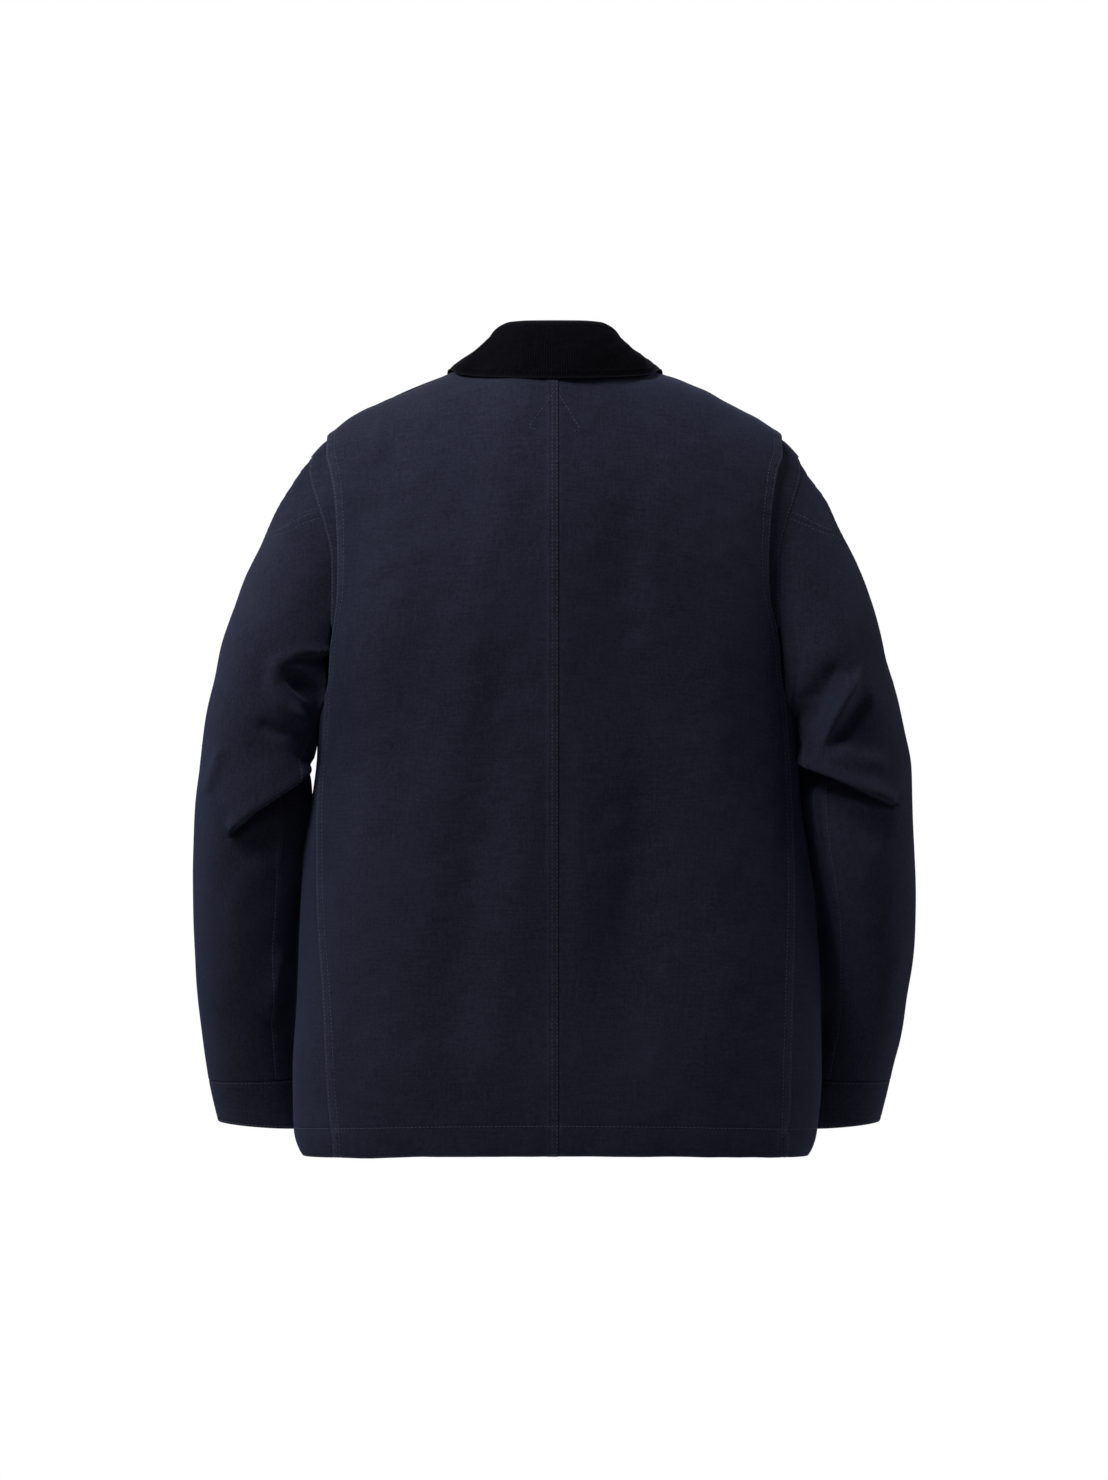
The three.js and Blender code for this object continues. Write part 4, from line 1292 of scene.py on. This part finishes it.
@dataclass
class FrontPanel:
    """One front, from the side seam under the arm to its buttoned edge."""

    side: Side
    cloth: float = 1.8
    lap: float = 22
    side_share: float = 0.32
    hem_depth: float = 26.6
    cut: tuple[float, float] = (0.39, 0.735)
    area: float = 0.218
    drape: tuple[Crease, ...] = (
        Crease(((110, -150), (126, -330), (118, -470)), -2.6, 46),
        Crease(((70, -190), (60, -420), (66, -640)), 2.2, 36),
        Crease(((176, -230), (150, -300), (120, -330)), 2.4, 20),
        Crease(((150, -520), (140, -690)), -1.6, 34),
        Crease(((90, -60), (120, -130)), 1.4, 16),
    )

    def surface(self, u: Array, v: Array) -> Array:
        """Points of the front and of its strip under the arm.

        Args:
            u: Share across the piece, from 0 to 1.
            v: Share along the piece, from 0 to 1.

        Returns:
            Points in millimetres.
        """
        scoop = math.radians(TORSO.scoop_angle)
        w = np.clip((u - self.side_share) / (1 - self.side_share), 0, 1)

        def angle_of(z: Array) -> Array:
            """The angle of each column at given heights."""
            arm = TORSO.angle_at(self.side, SEAMS.at("arm_front", z), z, True)
            arm = np.where(z > TORSO.underarm_z + TORSO.scoop_rise, arm, scoop)
            return mix(arm, TORSO.angle_at(self.side, -self.lap + 0 * z, z, True), w)

        p = TORSO.settle(self.side, angle_of, v * TORSO.tops(self.side, angle_of, v))
        p[..., 1] = np.where(v > 0.9, np.maximum(p[..., 1], TORSO.seam_gap / 2), p[..., 1])
        start = int(np.argmax(u[0] >= self.side_share))
        top = p[int(np.argmin(np.abs(v[:, 0] - 0.68))), start, 2]
        share = (p[:, start : start + 1, 2] - TORSO.hem_z) / (top - TORSO.hem_z) + 0 * u
        z = mix(TORSO.hem_z, TORSO.underarm_z, share)
        angle = z * 0 + scoop
        for _ in range(10):
            seam = TORSO.angle_at(self.side, SEAMS.at(f"seam_{self.side.word}", z), z, False) + 0.001
            angle = mix(seam, scoop, u / self.side_share)
            z = mix(TORSO.hem(angle), TORSO.scoop(angle), share)
        tab = TORSO.point(self.side, angle, z)
        return np.where((u < self.side_share)[..., None], tab, p)

    def build(self, wardrobe: Wardrobe) -> None:
        """Makes the front and its sewing.

        Args:
            wardrobe: Dresses the pieces in place of their nodes.
        """
        tab = columns_by_distance(96, [0, 0.6, 1.2, 2, 4], [0, 1.5], 4.2) * self.side_share
        main = columns_by_distance(225, [0, 1, 2, 3, 4.5], [0, 0.6, 1.4, 2.4, 3, 3.6, 5, 7.5, 11], 4.2)
        us = np.unique(np.concatenate([tab, mix(self.side_share, 1, main)]))
        low = 0.68 * columns_by_distance(411, [0, 0.8, 2, 4, 8, 14, 20, 24, 26, 26.6, 27.2, 29], [0, 2], 4.5)
        high = mix(0.68, 1, 1 - (1 - np.linspace(0, 1, 84)) ** 1.6)
        u, v = np.meshgrid(us, np.concatenate([low, high[1:]]))
        points = self.surface(u, v)
        normals = TORSO.normal(self.side, points)
        normals[..., 1] = np.where(np.abs(points[..., 1]) < 0.3, 0, normals[..., 1])
        normals[..., 0] = np.where(np.abs(points[..., 0]) < 0.3, 0, normals[..., 0])
        grid = ClothGrid(points, unit(normals), self.side.sign)
        x, z = np.abs(points[..., 0]), points[..., 2]
        edge = grid.from_far_edge
        open_front = ease(0, 30, edge) * ease(206, 176, x)
        lift = sum(f.lift(x, z) for f in self.drape) * open_front * ease(-470, -440, z)
        lift = lift + 0.5 * waves(points[..., 0], z * 0.7, 74, 15) * open_front * ease(-470, -440, z)
        lift = lift + lap_rise(self.side, points[..., 0]) - TORSO.step_down(points)
        for distance in (3.0, 36.0):
            lift = lift + seam_trough(edge - distance, 0.35, 1.1)
        lift = lift - 0.45 * bump(edge, 0.9)
        lift = lift + seam_trough(grid.along - self.hem_depth, 0.45, 1.4)
        lift = lift + pucker(grid.along - 20, grid.across, 51, 0.25, 14) * ease(0, 20, edge)
        grid.lift(lift)
        # Lighter along the front edge, the hem and the edge row: partly wear, partly painted highlight.
        grid.rub = 0.7 * bump(edge, 1.6) + 0.8 * bump(grid.along, 2.5) + 0.3 * bump(edge - 3, 5)
        thick = np.where(grid.along < self.hem_depth, 2.8, self.cloth)
        cut = (u[:-1, :-1] < self.side_share - 1e-6) & (v[:-1, :-1] >= 0.68 - 1e-6)
        obj = grid.mesh(f"cloth_front_{self.side.word}", thick, cut)
        wardrobe.dress(obj, CANVAS, f"front_{self.side.word}", f"front_strip_{self.side.word}")
        lines = [grid.row(edge, d, Run.DOWN, 0.004, 0.985) for d in (3.0, 36.0)]
        lines.append(grid.row(grid.along, self.hem_depth, Run.ACROSS))
        sewing = SEWING.mesh(f"sewing_front_{self.side.word}", lines)
        wardrobe.dress(sewing, THREAD, f"front_{self.side.word}", stands=False)
        f"back_{self.side.word}"


SLEEVE_FOLDS = {
    Side.LEFT: (
        Crease(((222, -348), (292, -408)), 6, 26),
        Crease(((226, -392), (280, -450)), -6, 24),
        Crease(((249, -290), (232, -330)), 3, 22),
        Crease(((244, -530), (262, -592)), 2.5, 22),
        Crease(((216, -360), (240, -382), (269, -403), (295, -425)), 6, 13, 25, 34),
        Crease(((204, -262), (222, -263), (242, -266)), 3.4, 9, 6, 18),
        Crease(((240, -262), (252, -274), (253, -292), (246, -308), (224, -328)), 6.5, 10),
        Crease(((222, -284), (234, -298)), -10, 17),
        Crease(((240, -336), (268, -326)), -4, 10),
        Crease(((242, -386), (246, -420), (250, -456)), 4.4, 3.6),
        Crease(((300, -345), (314, -388)), 3.4, 8),
        Crease(((304, -352), (312, -384)), -1.0, 12),
        Crease(((288, -222), (282, -252)), 1.3, 9),
        Crease(((256, -500), (262, -560)), -1.6, 12),
        Crease(((244, -524), (259, -590)), 2.0, 7),
        Crease(((242, -578), (252, -618)), 1.8, 6),
        Crease(((276, -450), (290, -500), (286, -560)), 1.4, 14),
        Crease(((270, -180), (286, -300)), 1.2, 20),
    ),
    Side.RIGHT: (
        Crease(((222, -346), (306, -396)), 6, 26),
        Crease(((232, -388), (296, -432)), -6, 24),
        Crease(((272, -282), (250, -330)), 3.5, 22),
        Crease(((262, -460), (292, -515)), 2.5, 22),
        Crease(((214, -356), (230, -363), (267, -380), (307, -398)), 6, 13, 24, 30),
        Crease(((273, -278), (261, -303), (244, -344)), 8, 8),
        Crease(((256, -272), (238, -300), (228, -328)), -8, 16),
        Crease(((284, -298), (266, -322), (254, -344)), -6, 11),
        Crease(((211, -303), (240, -300)), -1.3, 6),
        Crease(((252, -352), (300, -362)), 3.6, 12),
        Crease(((228, -364), (234, -400), (241, -430)), 4.0, 3.6),
        Crease(((263, -404), (279, -427)), -1.2, 5),
        Crease(((275, -455), (292, -479)), 1.4, 6),
        Crease(((260, -461), (277, -487), (296, -506)), -1.6, 7),
        Crease(((261, -497), (269, -525)), 1.2, 6),
        Crease(((288, -210), (296, -262)), 1.2, 12),
        Crease(((300, -520), (290, -590)), 1.2, 14),
    ),
}
FRONT_FOLDS = (
    Crease(((232, -330), (292, -372)), 3.6, 20, 4, 22),
    Crease(((238, -396), (300, -420)), -2.8, 16),
    Crease(((262, -250), (246, -312)), 2.4, 18),
    Crease(((296, -300), (312, -360)), 1.6, 14),
    Crease(((250, -470), (284, -520)), 2.2, 14),
    Crease(((246, -560), (276, -620)), -1.6, 14),
)


@dataclass
class SleeveHalf:
    """The back or the front piece of a two-piece sleeve."""

    side: Side
    is_back: bool
    cloth: float = 1.8

    @property
    def word(self) -> str:
        """The piece's name within the jacket."""
        return f"sleeve_{'back' if self.is_back else 'front'}_{self.side.word}"

    def angles(self, u: Array, s: Array) -> Array:
        """Angles round the arm of the piece's columns.

        Args:
            u: Share across the piece, from 0 to 1.
            s: Share down the arm, from 0 to 1.

        Returns:
            Angles in degrees.
        """
        gap = 0.02
        outer, inner = SLEEVE_SEAMS.at("outer", s), SLEEVE_SEAMS.at("inner", s)
        if self.is_back:
            return mix(inner + gap, outer - gap, u)
        return mix(outer + gap, 360 + inner - gap, u)

    def build(self, wardrobe: Wardrobe) -> None:
        """Makes the piece and the rows beside its seams.

        Args:
            wardrobe: Dresses the pieces in place of their nodes.
        """
        form = SLEEVES[self.side]
        width = 185 if self.is_back else 230
        near = [0, 0.7, 1.4, 2, 2.7, 4, 6]
        us = columns_by_distance(width, near, near + [7.5, 8.2, 9, 11], 3.2)
        rows = [np.linspace(0, 0.45, 76), np.linspace(0.45, 0.72, 84)[1:], np.linspace(0.72, 1, 60)[1:]]
        u, s = np.meshgrid(us, np.concatenate(rows))
        angle = self.angles(u, s)
        points = form.point(angle, s)
        grid = ClothGrid(points, form.normal(angle, s), -self.side.sign)
        x, z = EYE.seen(points)
        middle = SLEEVE.at("middle", s)
        behind = np.clip((middle - points[..., 1]) / 30, 0, 1) * ease(1, 0.93, s)
        before = np.clip((points[..., 1] - middle) / 30, 0, 1) * ease(1, 0.93, s)
        clear = ease(214, 232, np.abs(points[..., 0]))
        lift = sum(f.lift(x, z) for f in SLEEVE_FOLDS[self.side]) * behind
        lift = lift + sum(f.lift(x, z) for f in FRONT_FOLDS) * before * clear
        lift = lift + 0.6 * waves(points[..., 0] + points[..., 1], z * 0.8, 64, 21) * clear * ease(1, 0.95, s)
        far = grid.from_far_edge
        if self.is_back:
            for distance in (2.0, 8.2):
                lift = lift + seam_trough(far - distance, 0.35, 1.1)
            lift = lift + seam_trough(grid.across - 2.0, 0.35, 1.1)
            lift = lift + pucker(far - 5, grid.along, 61, 0.25, 6) * ease(0, 2, far)
        grid.lift(lift)
        # Lighter along both seams: partly wear, partly painted highlight.
        grid.rub = 0.35 * bump(far - 1, 4) + 0.35 * bump(grid.across - 1, 4)
        obj = grid.mesh(f"cloth_{self.word}", np.full(u.shape, self.cloth))
        lower = [] if self.is_back else [f"sleeve_front_lower_{self.side.word}"]
        wardrobe.dress(obj, CANVAS, self.word, *lower)
        if self.is_back:
            lines = [grid.row(far, d, Run.DOWN, 0.01) for d in (2.0, 8.2)]
            lines.append(grid.row(grid.across, 2.0, Run.DOWN, 0.01))
            sewing = SEWING.mesh(f"sewing_{self.word}", lines)
            wardrobe.dress(sewing, THREAD, self.word, stands=False)
        f"back_{self.side.word}"


@dataclass
class Cuff:
    """A turned band round the wrist, lapped at the slit."""

    side: Side
    slit: float = -196
    lap: float = 24
    step: float = 3.8
    thickness: float = 3
    cut: tuple[float, float] = (0.3, 0.048)

    def build(self, wardrobe: Wardrobe) -> None:
        """Makes the band, its sewing and its button.

        Args:
            wardrobe: Dresses the pieces in place of their nodes.
        """
        form = SLEEVES[self.side]
        edges = [0, 0.5, 1.2, 2, 2.8]
        u, v = np.meshgrid(np.linspace(0, 1, 110), columns_by_distance(40, edges, edges, 3))
        angle = self.slit - self.lap / 2 + (360 + self.lap) * u
        s = mix(1.001, 1.1, v)
        points = form.point(angle, s)
        grid = ClothGrid(points, form.normal(angle, s), -self.side.sign)
        low, high = grid.along, grid.from_last_row
        lift = self.step * mix(ease(0.915, 0.937, u), ease(0.72, 0.92, u), ease(0, 14, low))
        for away in (low, high):
            lift = lift + seam_trough(away - 2, 0.3, 1.1) - 0.45 * bump(away, 0.9)
        lift = lift + pucker(low - 4, grid.across, 71, 0.22, 8)
        grid.lift(lift)
        # Lighter along both edges of the cuff: partly wear, partly painted highlight.
        grid.rub = 0.8 * bump(high, 2) + 0.5 * bump(low, 1.5)
        obj = grid.mesh(f"cloth_cuff_{self.side.word}", np.full(u.shape, self.thickness - 0.3))
        wardrobe.dress(obj, CANVAS, f"cuff_{self.side.word}")
        lines = [grid.row(low, 2.0, Run.ACROSS, 0.01, 0.99), grid.row(high, 2.0, Run.ACROSS, 0.01, 0.99)]
        sewing = SEWING.mesh(f"sewing_cuff_{self.side.word}", lines)
        wardrobe.dress(sewing, THREAD, f"cuff_{self.side.word}", stands=False)
        f"sleeve_back_{self.side.word}"
        at = np.array(self.slit + self.lap / 2 - 8.0)
        out = form.normal(at, np.array(1.0505))
        Button(7.5).build(wardrobe, f"cuff_button_{self.side.word}",
                          form.point(at, np.array(1.0505)) + out * (self.step + 0.3), out)


@dataclass
class CollarPiece:
    """Stand, roll and fall of the corduroy collar, with its wales up and down."""

    end: float = 162
    roll: float = 4.2
    wale: float = 1.75
    edge_low: float = -20.5
    edge_bow: float = 5.6
    cut: tuple[float, float] = (0.46, 0.105)

    def surface(self, u: Array, v: Array) -> Array:
        """Points of the collar along it and over the roll.

        Args:
            u: Share across the piece, from 0 to 1.
            v: Share along the piece, from 0 to 1.

        Returns:
            Points in millimetres.
        """
        turn = mix(-self.end, self.end, u)
        sign = np.where(turn < 0, -1.0, 1.0)
        plan = np.abs(turn)
        reach = np.where(plan < 90, TORSO.neck_back, TORSO.neck_front)
        angle = np.radians(turn)
        half = TORSO.neck_half_width
        flat = np.radians(plan)
        rim_z = self.on_body(sign, half * np.sin(flat), -reach * np.cos(flat))
        foot = np.stack([(half - 4) * np.sin(angle), -(reach - 4) * np.cos(angle), rim_z - 4], axis=-1)
        middle = np.stack([sign * COLLAR.at("roll_x", plan), COLLAR.at("roll_y", plan),
                           COLLAR.at("roll_z", plan) - self.roll], axis=-1)
        edge_x, edge_y = COLLAR.at("edge_x", plan), COLLAR.at("edge_y", plan)
        edge = np.stack([sign * edge_x, edge_y, self.on_body(sign, edge_x, edge_y)], axis=-1)
        low = self.edge_low + self.edge_bow * (edge_x / 90) ** 2
        behind = np.stack([self.on_back(side, edge_x, low) for side in (Side.LEFT, Side.RIGHT)])
        behind = np.where((sign < 0)[..., None], behind[0], behind[1])
        edge = mix(edge, behind, ease(84, 60, plan)[..., None])
        over = ease(62, 84, plan) * ease(116, 98, plan)
        rise = np.where((sign < 0) & (plan > 90), lap_rise(Side.LEFT, sign * edge_x), 0)
        normal = np.where((sign < 0)[..., None], TORSO.normal(Side.LEFT, edge),
                          TORSO.normal(Side.RIGHT, edge))
        edge = edge + normal * (0.8 * (1 + over) + rise)[..., None]
        outward = edge - middle
        outward[..., 2] = 0
        outward = unit(outward)
        up = np.array([0, 0, 1.0])
        stand = mix(foot, middle - outward * self.roll, (v / 0.3)[..., None])
        bend = np.clip((v - 0.3) / 0.2, 0, 1)[..., None] * math.pi
        roll = middle - outward * self.roll * np.cos(bend) + up * self.roll * np.sin(bend)
        share = np.clip((v - 0.5) / 0.5, 0, 1)[..., None]
        bulge = 2.2 * 4 * share * (1 - share)
        fall = mix(middle + outward * self.roll, edge, share) + (outward + up) * bulge
        return np.where((v < 0.3)[..., None], stand, np.where((v < 0.5)[..., None], roll, fall))

    @staticmethod
    def on_back(side: Side, x: Array, z: Array) -> Array:
        """Points of the back at a distance from the centre and a height."""
        return TORSO.point(side, TORSO.angle_at(side, x, z, False), z)

    @staticmethod
    def on_body(sign: Array, x: Array, y: Array) -> Array:
        """Height of the body below each place, on its own side."""
        left, right = (TORSO.height_at(side, x, y) for side in (Side.LEFT, Side.RIGHT))
        return np.where(sign < 0, left, right)

    def build(self, wardrobe: Wardrobe) -> None:
        """Makes the collar and its edge row.

        Args:
            wardrobe: Dresses the pieces in place of their nodes.
        """
        length = 440
        wales = round(length / self.wale)
        us = np.linspace(0, 1, wales * 3 + 1)
        fall = mix(0.5, 1, columns_by_distance(46, [0], [0, 0.6, 1.6, 3, 4.6, 5.6, 6.3, 7, 8, 10], 4.2))
        vs = np.concatenate([np.linspace(0, 0.3, 5), np.linspace(0.3, 0.5, 8)[1:], fall[1:]])
        u, v = np.meshgrid(us, vs)
        points = self.surface(u, v)
        e = 0.002
        up = self.surface(u, np.clip(v + e, 0, 1)) - self.surface(u, np.clip(v - e, 0, 1))
        along = self.surface(np.clip(u + e, 0, 1), v) - self.surface(np.clip(u - e, 0, 1), v)
        grid = ClothGrid(points, unit(np.cross(along, up)), 1)
        edge = grid.from_last_row
        ridge = 0.5 + 0.5 * np.cos(u * wales * 2 * math.pi)
        lift = -0.6 + 0.6 * ridge * ease(0, 1.2, edge)
        lift = lift + seam_trough(edge - 6.3, 0.4, 1.3) - 0.4 * bump(edge, 0.8)
        lift = lift + 0.5 * waves(grid.across, grid.along, 46, 81) * ease(0, 12, edge) * ease(0.5, 0.62, v)
        lift = lift + pucker(edge - 6.3, grid.across, 83, 0.25, 5) * ease(0, 2, edge)
        grid.lift(lift)
        # Lighter at the outer edge, along the top of the roll and on the wale tops: partly wear, partly
        # painted highlight.
        grid.rub = 0.3 * bump(edge, 1.8) + 0.45 * bump(v - 0.42, 0.08) + 0.5 * ridge ** 3
        obj = grid.mesh("cloth_collar", np.full(u.shape, 1.7))
        wardrobe.dress(obj, CORDUROY, "collar_fall", "collar_stand")
        sewing = SEWING.mesh("sewing_collar", [grid.row(edge, 6.3, Run.ACROSS, 0.012, 0.988)])
        wardrobe.dress(sewing, CORDUROY, "collar_fall", stands=False)


@dataclass
class Pocket:
    """A patch pocket on the hip of one front."""

    side: Side
    inner: float = 62
    outer: float = 192
    top: float = -486
    low: float = -662
    cut: tuple[float, float] = (0.142, 0.178)

    def build(self, wardrobe: Wardrobe) -> None:
        """Makes the pocket and its sewing.

        Args:
            wardrobe: Dresses the pieces in place of their nodes.
        """
        edges = [0, 0.6, 1.4, 2, 2.6, 4, 6, 8, 10]
        near_mouth = [0, 0.6, 1.5, 3, 6, 11, 17, 21, 22.4, 23, 23.6, 25]
        u, v = np.meshgrid(columns_by_distance(150, edges, edges, 4),
                           columns_by_distance(176, edges, near_mouth, 4))
        z = mix(self.low, self.top, v)
        points = TORSO.point(self.side, TORSO.angle_at(self.side, mix(self.outer, self.inner, u), z, True), z)
        grid = ClothGrid(points, TORSO.normal(self.side, points), self.side.sign)
        sides = np.minimum(np.minimum(grid.across, grid.from_far_edge), grid.along)
        mouth = grid.from_last_row
        soft = ease(4, 30, sides)
        lift = 2.75 + 2.6 * soft * ease(150, 20, mouth) + 0.5 * waves(points[..., 0], z, 52, 91) * soft
        lift = lift + seam_trough(sides - 2, 0.3, 1.1) + seam_trough(mouth - 23, 0.35, 1.2)
        lift = lift - 0.4 * bump(np.minimum(sides, mouth), 0.8)
        grid.lift(lift)
        # Lighter along the pocket's edges and its mouth: partly wear, partly painted highlight.
        grid.rub = 0.6 * bump(sides, 1.6) + 0.8 * bump(mouth, 2)
        obj = grid.mesh(f"cloth_pocket_{self.side.word}", np.full(u.shape, 1.5))
        wardrobe.dress(obj, CANVAS, f"pocket_{self.side.word}")
        lines = [grid.row(grid.across, 2, Run.DOWN, 0.06), grid.row(grid.from_far_edge, 2, Run.DOWN, 0.06),
                 grid.row(grid.along, 2, Run.ACROSS, 0.05, 0.95), grid.row(mouth, 23, Run.ACROSS, 0.08, 0.92)]
        sewing = SEWING.mesh(f"sewing_pocket_{self.side.word}", lines)
        wardrobe.dress(sewing, THREAD, f"pocket_{self.side.word}", stands=False)
        f"front_{self.side.word}"


@dataclass
class Button:
    """A turned horn button with a rim, four holes and its thread."""

    radius: float = 10
    height: float = 3.2
    hole: float = 1.0
    spread: float = 2.0

    def profile(self) -> list[tuple[float, float]]:
        """Radius and height of the turned outline, from below to the middle of the dish."""
        r, h = self.radius, self.height
        return [(0.01, 0), (r * 0.86, 0), (r * 0.96, 0.35), (r, 1.0), (r, h - 0.9), (r * 0.965, h - 0.25),
                (r * 0.9, h), (r * 0.8, h - 0.12), (r * 0.72, h - 0.6), (r * 0.62, h - 0.95),
                (r * 0.3, h - 1.1), (0.01, h - 1.1)]

    def turned(self, name: str, profile: list[tuple[float, float]], count: int) -> bpy.types.Object:
        """A closed body of revolution.

        Args:
            name: The object's name.
            profile: Radius and height from below.
            count: Points round it.

        Returns:
            The object.
        """
        turn = np.arange(count) / count * 2 * math.pi
        points = np.array([[(r * math.cos(a), r * math.sin(a), h) for a in turn] for r, h in profile])
        k = np.arange(count)
        faces = []
        for j in range(len(profile) - 1):
            ring = np.stack([j * count + k, j * count + (k + 1) % count,
                             (j + 1) * count + (k + 1) % count, (j + 1) * count + k], axis=1)
            faces += ring.tolist()
        faces.append(k[::-1].tolist())
        faces.append(((len(profile) - 1) * count + k).tolist())
        data = bpy.data.meshes.new(name)
        data.from_pydata((points.reshape(-1, 3) * MM).tolist(), [], faces)
        obj = bpy.data.objects.new(name, data)
        bpy.context.scene.collection.objects.link(obj)
        return obj

    def drilled(self, obj: bpy.types.Object) -> None:
        """Cuts the four holes.

        Args:
            obj: The button, which is cut.
        """
        drill = self.turned("drill", [(self.hole, -1), (self.hole, self.height + 1)], 14)
        for k in range(4):
            angle = math.pi / 4 + k * math.pi / 2
            bit = drill.copy()
            bit.location = Vector((math.cos(angle), math.sin(angle), 0)) * self.spread * MM
            bpy.context.scene.collection.objects.link(bit)
            cut = obj.modifiers.new("hole", "BOOLEAN")
            cut.operation, cut.object, cut.solver = "DIFFERENCE", bit, "EXACT"
            bpy.context.view_layer.update()
            data = bpy.data.meshes.new_from_object(obj.evaluated_get(bpy.context.evaluated_depsgraph_get()))
            obj.modifiers.clear()
            obj.data = data
            bpy.data.objects.remove(bit)
        bpy.data.objects.remove(drill)

    def build(self, wardrobe: Wardrobe, node: str, place: Array, out: Array) -> None:
        """Makes the button on its place.

        Args:
            wardrobe: The finishes.
            node: The CAD node that it stands for.
            place: The middle of its underside in millimetres.
            out: The direction that it faces.
        """
        obj = self.turned(f"horn_{node}", self.profile(), 48)
        self.drilled(obj)
        turn = Vector(out.tolist()).to_track_quat("Z", "Y").to_matrix().to_4x4()
        turn.translation = Vector(place.tolist()) * MM
        obj.data.transform(turn)
        obj.data.shade_smooth()
        wardrobe.dress(obj, HORN, node)
        matrix = np.array(turn)
        lines = []
        for x in (-1, 1):
            reach = self.spread * 0.7071
            share = np.linspace(-1, 1, 9)
            top = self.height - 1.05 + 0.35 * (1 - share ** 2)
            local = np.stack([x * reach + 0 * share, share * reach * 1.05, top, 1000 + 0 * share], axis=1)
            lines.append(((local @ matrix.T)[:, :3] + 0 * share[:, None], np.repeat(out[None], 9, axis=0)))
        thread = Sewing(pitch=0.62, length=2.55, radius=0.33)
        sewing = thread.mesh(f"thread_{node}", lines)
        wardrobe.dress(sewing, THREAD, node, stands=False)


@dataclass
class Studio:
    """Pale floor, white surroundings, a broad light from above and two from the sides."""

    floor_z: float = -1.6
    floor_radius: float = 1.3
    surround: float = 0.16
    lamps: tuple[tuple[str, tuple[float, float, float], float, float], ...] = (
        ("above", (-0.85, -0.95, 1.15), 0.65, 42.0),
        ("left", (-2.2, 0.5, 0.9), 1.2, 26.0),
        ("right", (2.2, 0.5, 0.9), 1.2, 26.0),
        ("front", (0.0, 2.4, 1.3), 1.6, 34.0),
    )

    def build(self) -> None:
        """Sets the floor, the surroundings, the lights and the camera."""
        self.floor()
        self.sky()
        for name, place, size, power in self.lamps:
            self.lamp(name, Vector(place), size, power)
        self.camera()
        bpy.context.scene.view_settings.view_transform = "Standard"
        LOG.info("studio: floor at %.2f m and %d lights", self.floor_z, len(self.lamps))

    def floor(self) -> None:
        """A pale round floor below the garment."""
        count, radius = 96, self.floor_radius
        turn = np.arange(count) / count * 2 * math.pi
        rim = np.stack([radius * np.cos(turn), radius * np.sin(turn), 0 * turn + self.floor_z], axis=1)
        data = bpy.data.meshes.new("floor")
        data.from_pydata(rim.tolist(), [], [list(range(count))])
        obj = bpy.data.objects.new("floor", data)
        bpy.context.scene.collection.objects.link(obj)
        material = bpy.data.materials.new("pale_floor")
        material.use_nodes = True
        shader = material.node_tree.nodes["Principled BSDF"]
        shader.inputs["Base Color"].default_value = (0.94, 0.94, 0.94, 1)
        shader.inputs["Roughness"].default_value = 0.95
        obj.data.materials.append(material)

    def sky(self) -> None:
        """White surroundings that light the garment more softly than they show."""
        world = bpy.data.worlds.new("studio")
        world.use_nodes = True
        tree = world.node_tree
        ground = tree.nodes["Background"]
        ground.inputs["Color"].default_value = (1, 1, 1, 1)
        sheet = NodeSheet(tree)
        shown = sheet.add("LightPath").outputs["Is Camera Ray"]
        strength = sheet.add("MapRange", Value=shown, To_Min=self.surround, To_Max=1.0)
        tree.links.new(strength.outputs[0], ground.inputs["Strength"])
        bpy.context.scene.world = world

    def lamp(self, name: str, place: Vector, size: float, power: float) -> None:
        """A square soft light that looks at the garment's middle.

        Args:
            name: The name of the light.
            place: Where it stands, in metres.
            size: Its width in metres.
            power: Its power in watts.
        """
        data = bpy.data.lights.new(name, "AREA")
        data.size, data.energy = size, power
        obj = bpy.data.objects.new(name, data)
        obj.location = place
        obj.rotation_euler = (Vector((0, 0, -0.3)) - place).to_track_quat("-Z", "Y").to_euler()
        bpy.context.scene.collection.objects.link(obj)

    def camera(self) -> None:
        """The photograph's view, taken as 1108 by 1480."""
        data = bpy.data.cameras.new("camera")
        data.lens, data.sensor_width = EYE.lens, 36
        data.clip_start, data.clip_end = 0.1, 50
        obj = bpy.data.objects.new("camera", data)
        obj.location = (EYE.x * MM, -EYE.distance * MM, EYE.z * MM)
        obj.rotation_euler = (math.pi / 2, 0, 0)
        bpy.context.scene.collection.objects.link(obj)
        bpy.context.scene.camera = obj


@dataclass
class ChoreJacket:
    """The whole garment, piece by piece."""

    button_top: float = -120
    button_step: float = 108
    button_count: int = 5
    wardrobe: Wardrobe = field(default_factory=Wardrobe)

    def build(self) -> None:
        """Builds every piece in the order of sewing."""
        for side in Side:
            BackPanel(side).build(self.wardrobe)
            Gusset(side).build(self.wardrobe)
            FrontPanel(side).build(self.wardrobe)
            for is_back in (True, False):
                SleeveHalf(side, is_back).build(self.wardrobe)
            Cuff(side).build(self.wardrobe)
            Pocket(side).build(self.wardrobe)
        CollarPiece().build(self.wardrobe)
        self.buttons()

    def buttons(self) -> None:
        """The buttons down the front."""
        for index in range(self.button_count):
            z = np.array(self.button_top - index * self.button_step)
            place = TORSO.point(Side.LEFT, np.array(math.pi), z)
            out = TORSO.normal(Side.LEFT, place)
            out[0] = 0
            out = unit(out)
            Button().build(self.wardrobe, f"button_{index + 1}", place + out * 4.7, out)


def main() -> None:
    """Builds the studio and the garment; each piece's face count is logged."""
    logging.basicConfig(level=logging.INFO, format="%(name)s %(message)s", stream=sys.stdout)
    Studio().build()
    ChoreJacket().build()
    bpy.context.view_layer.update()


if __name__ == "__main__":
    main()
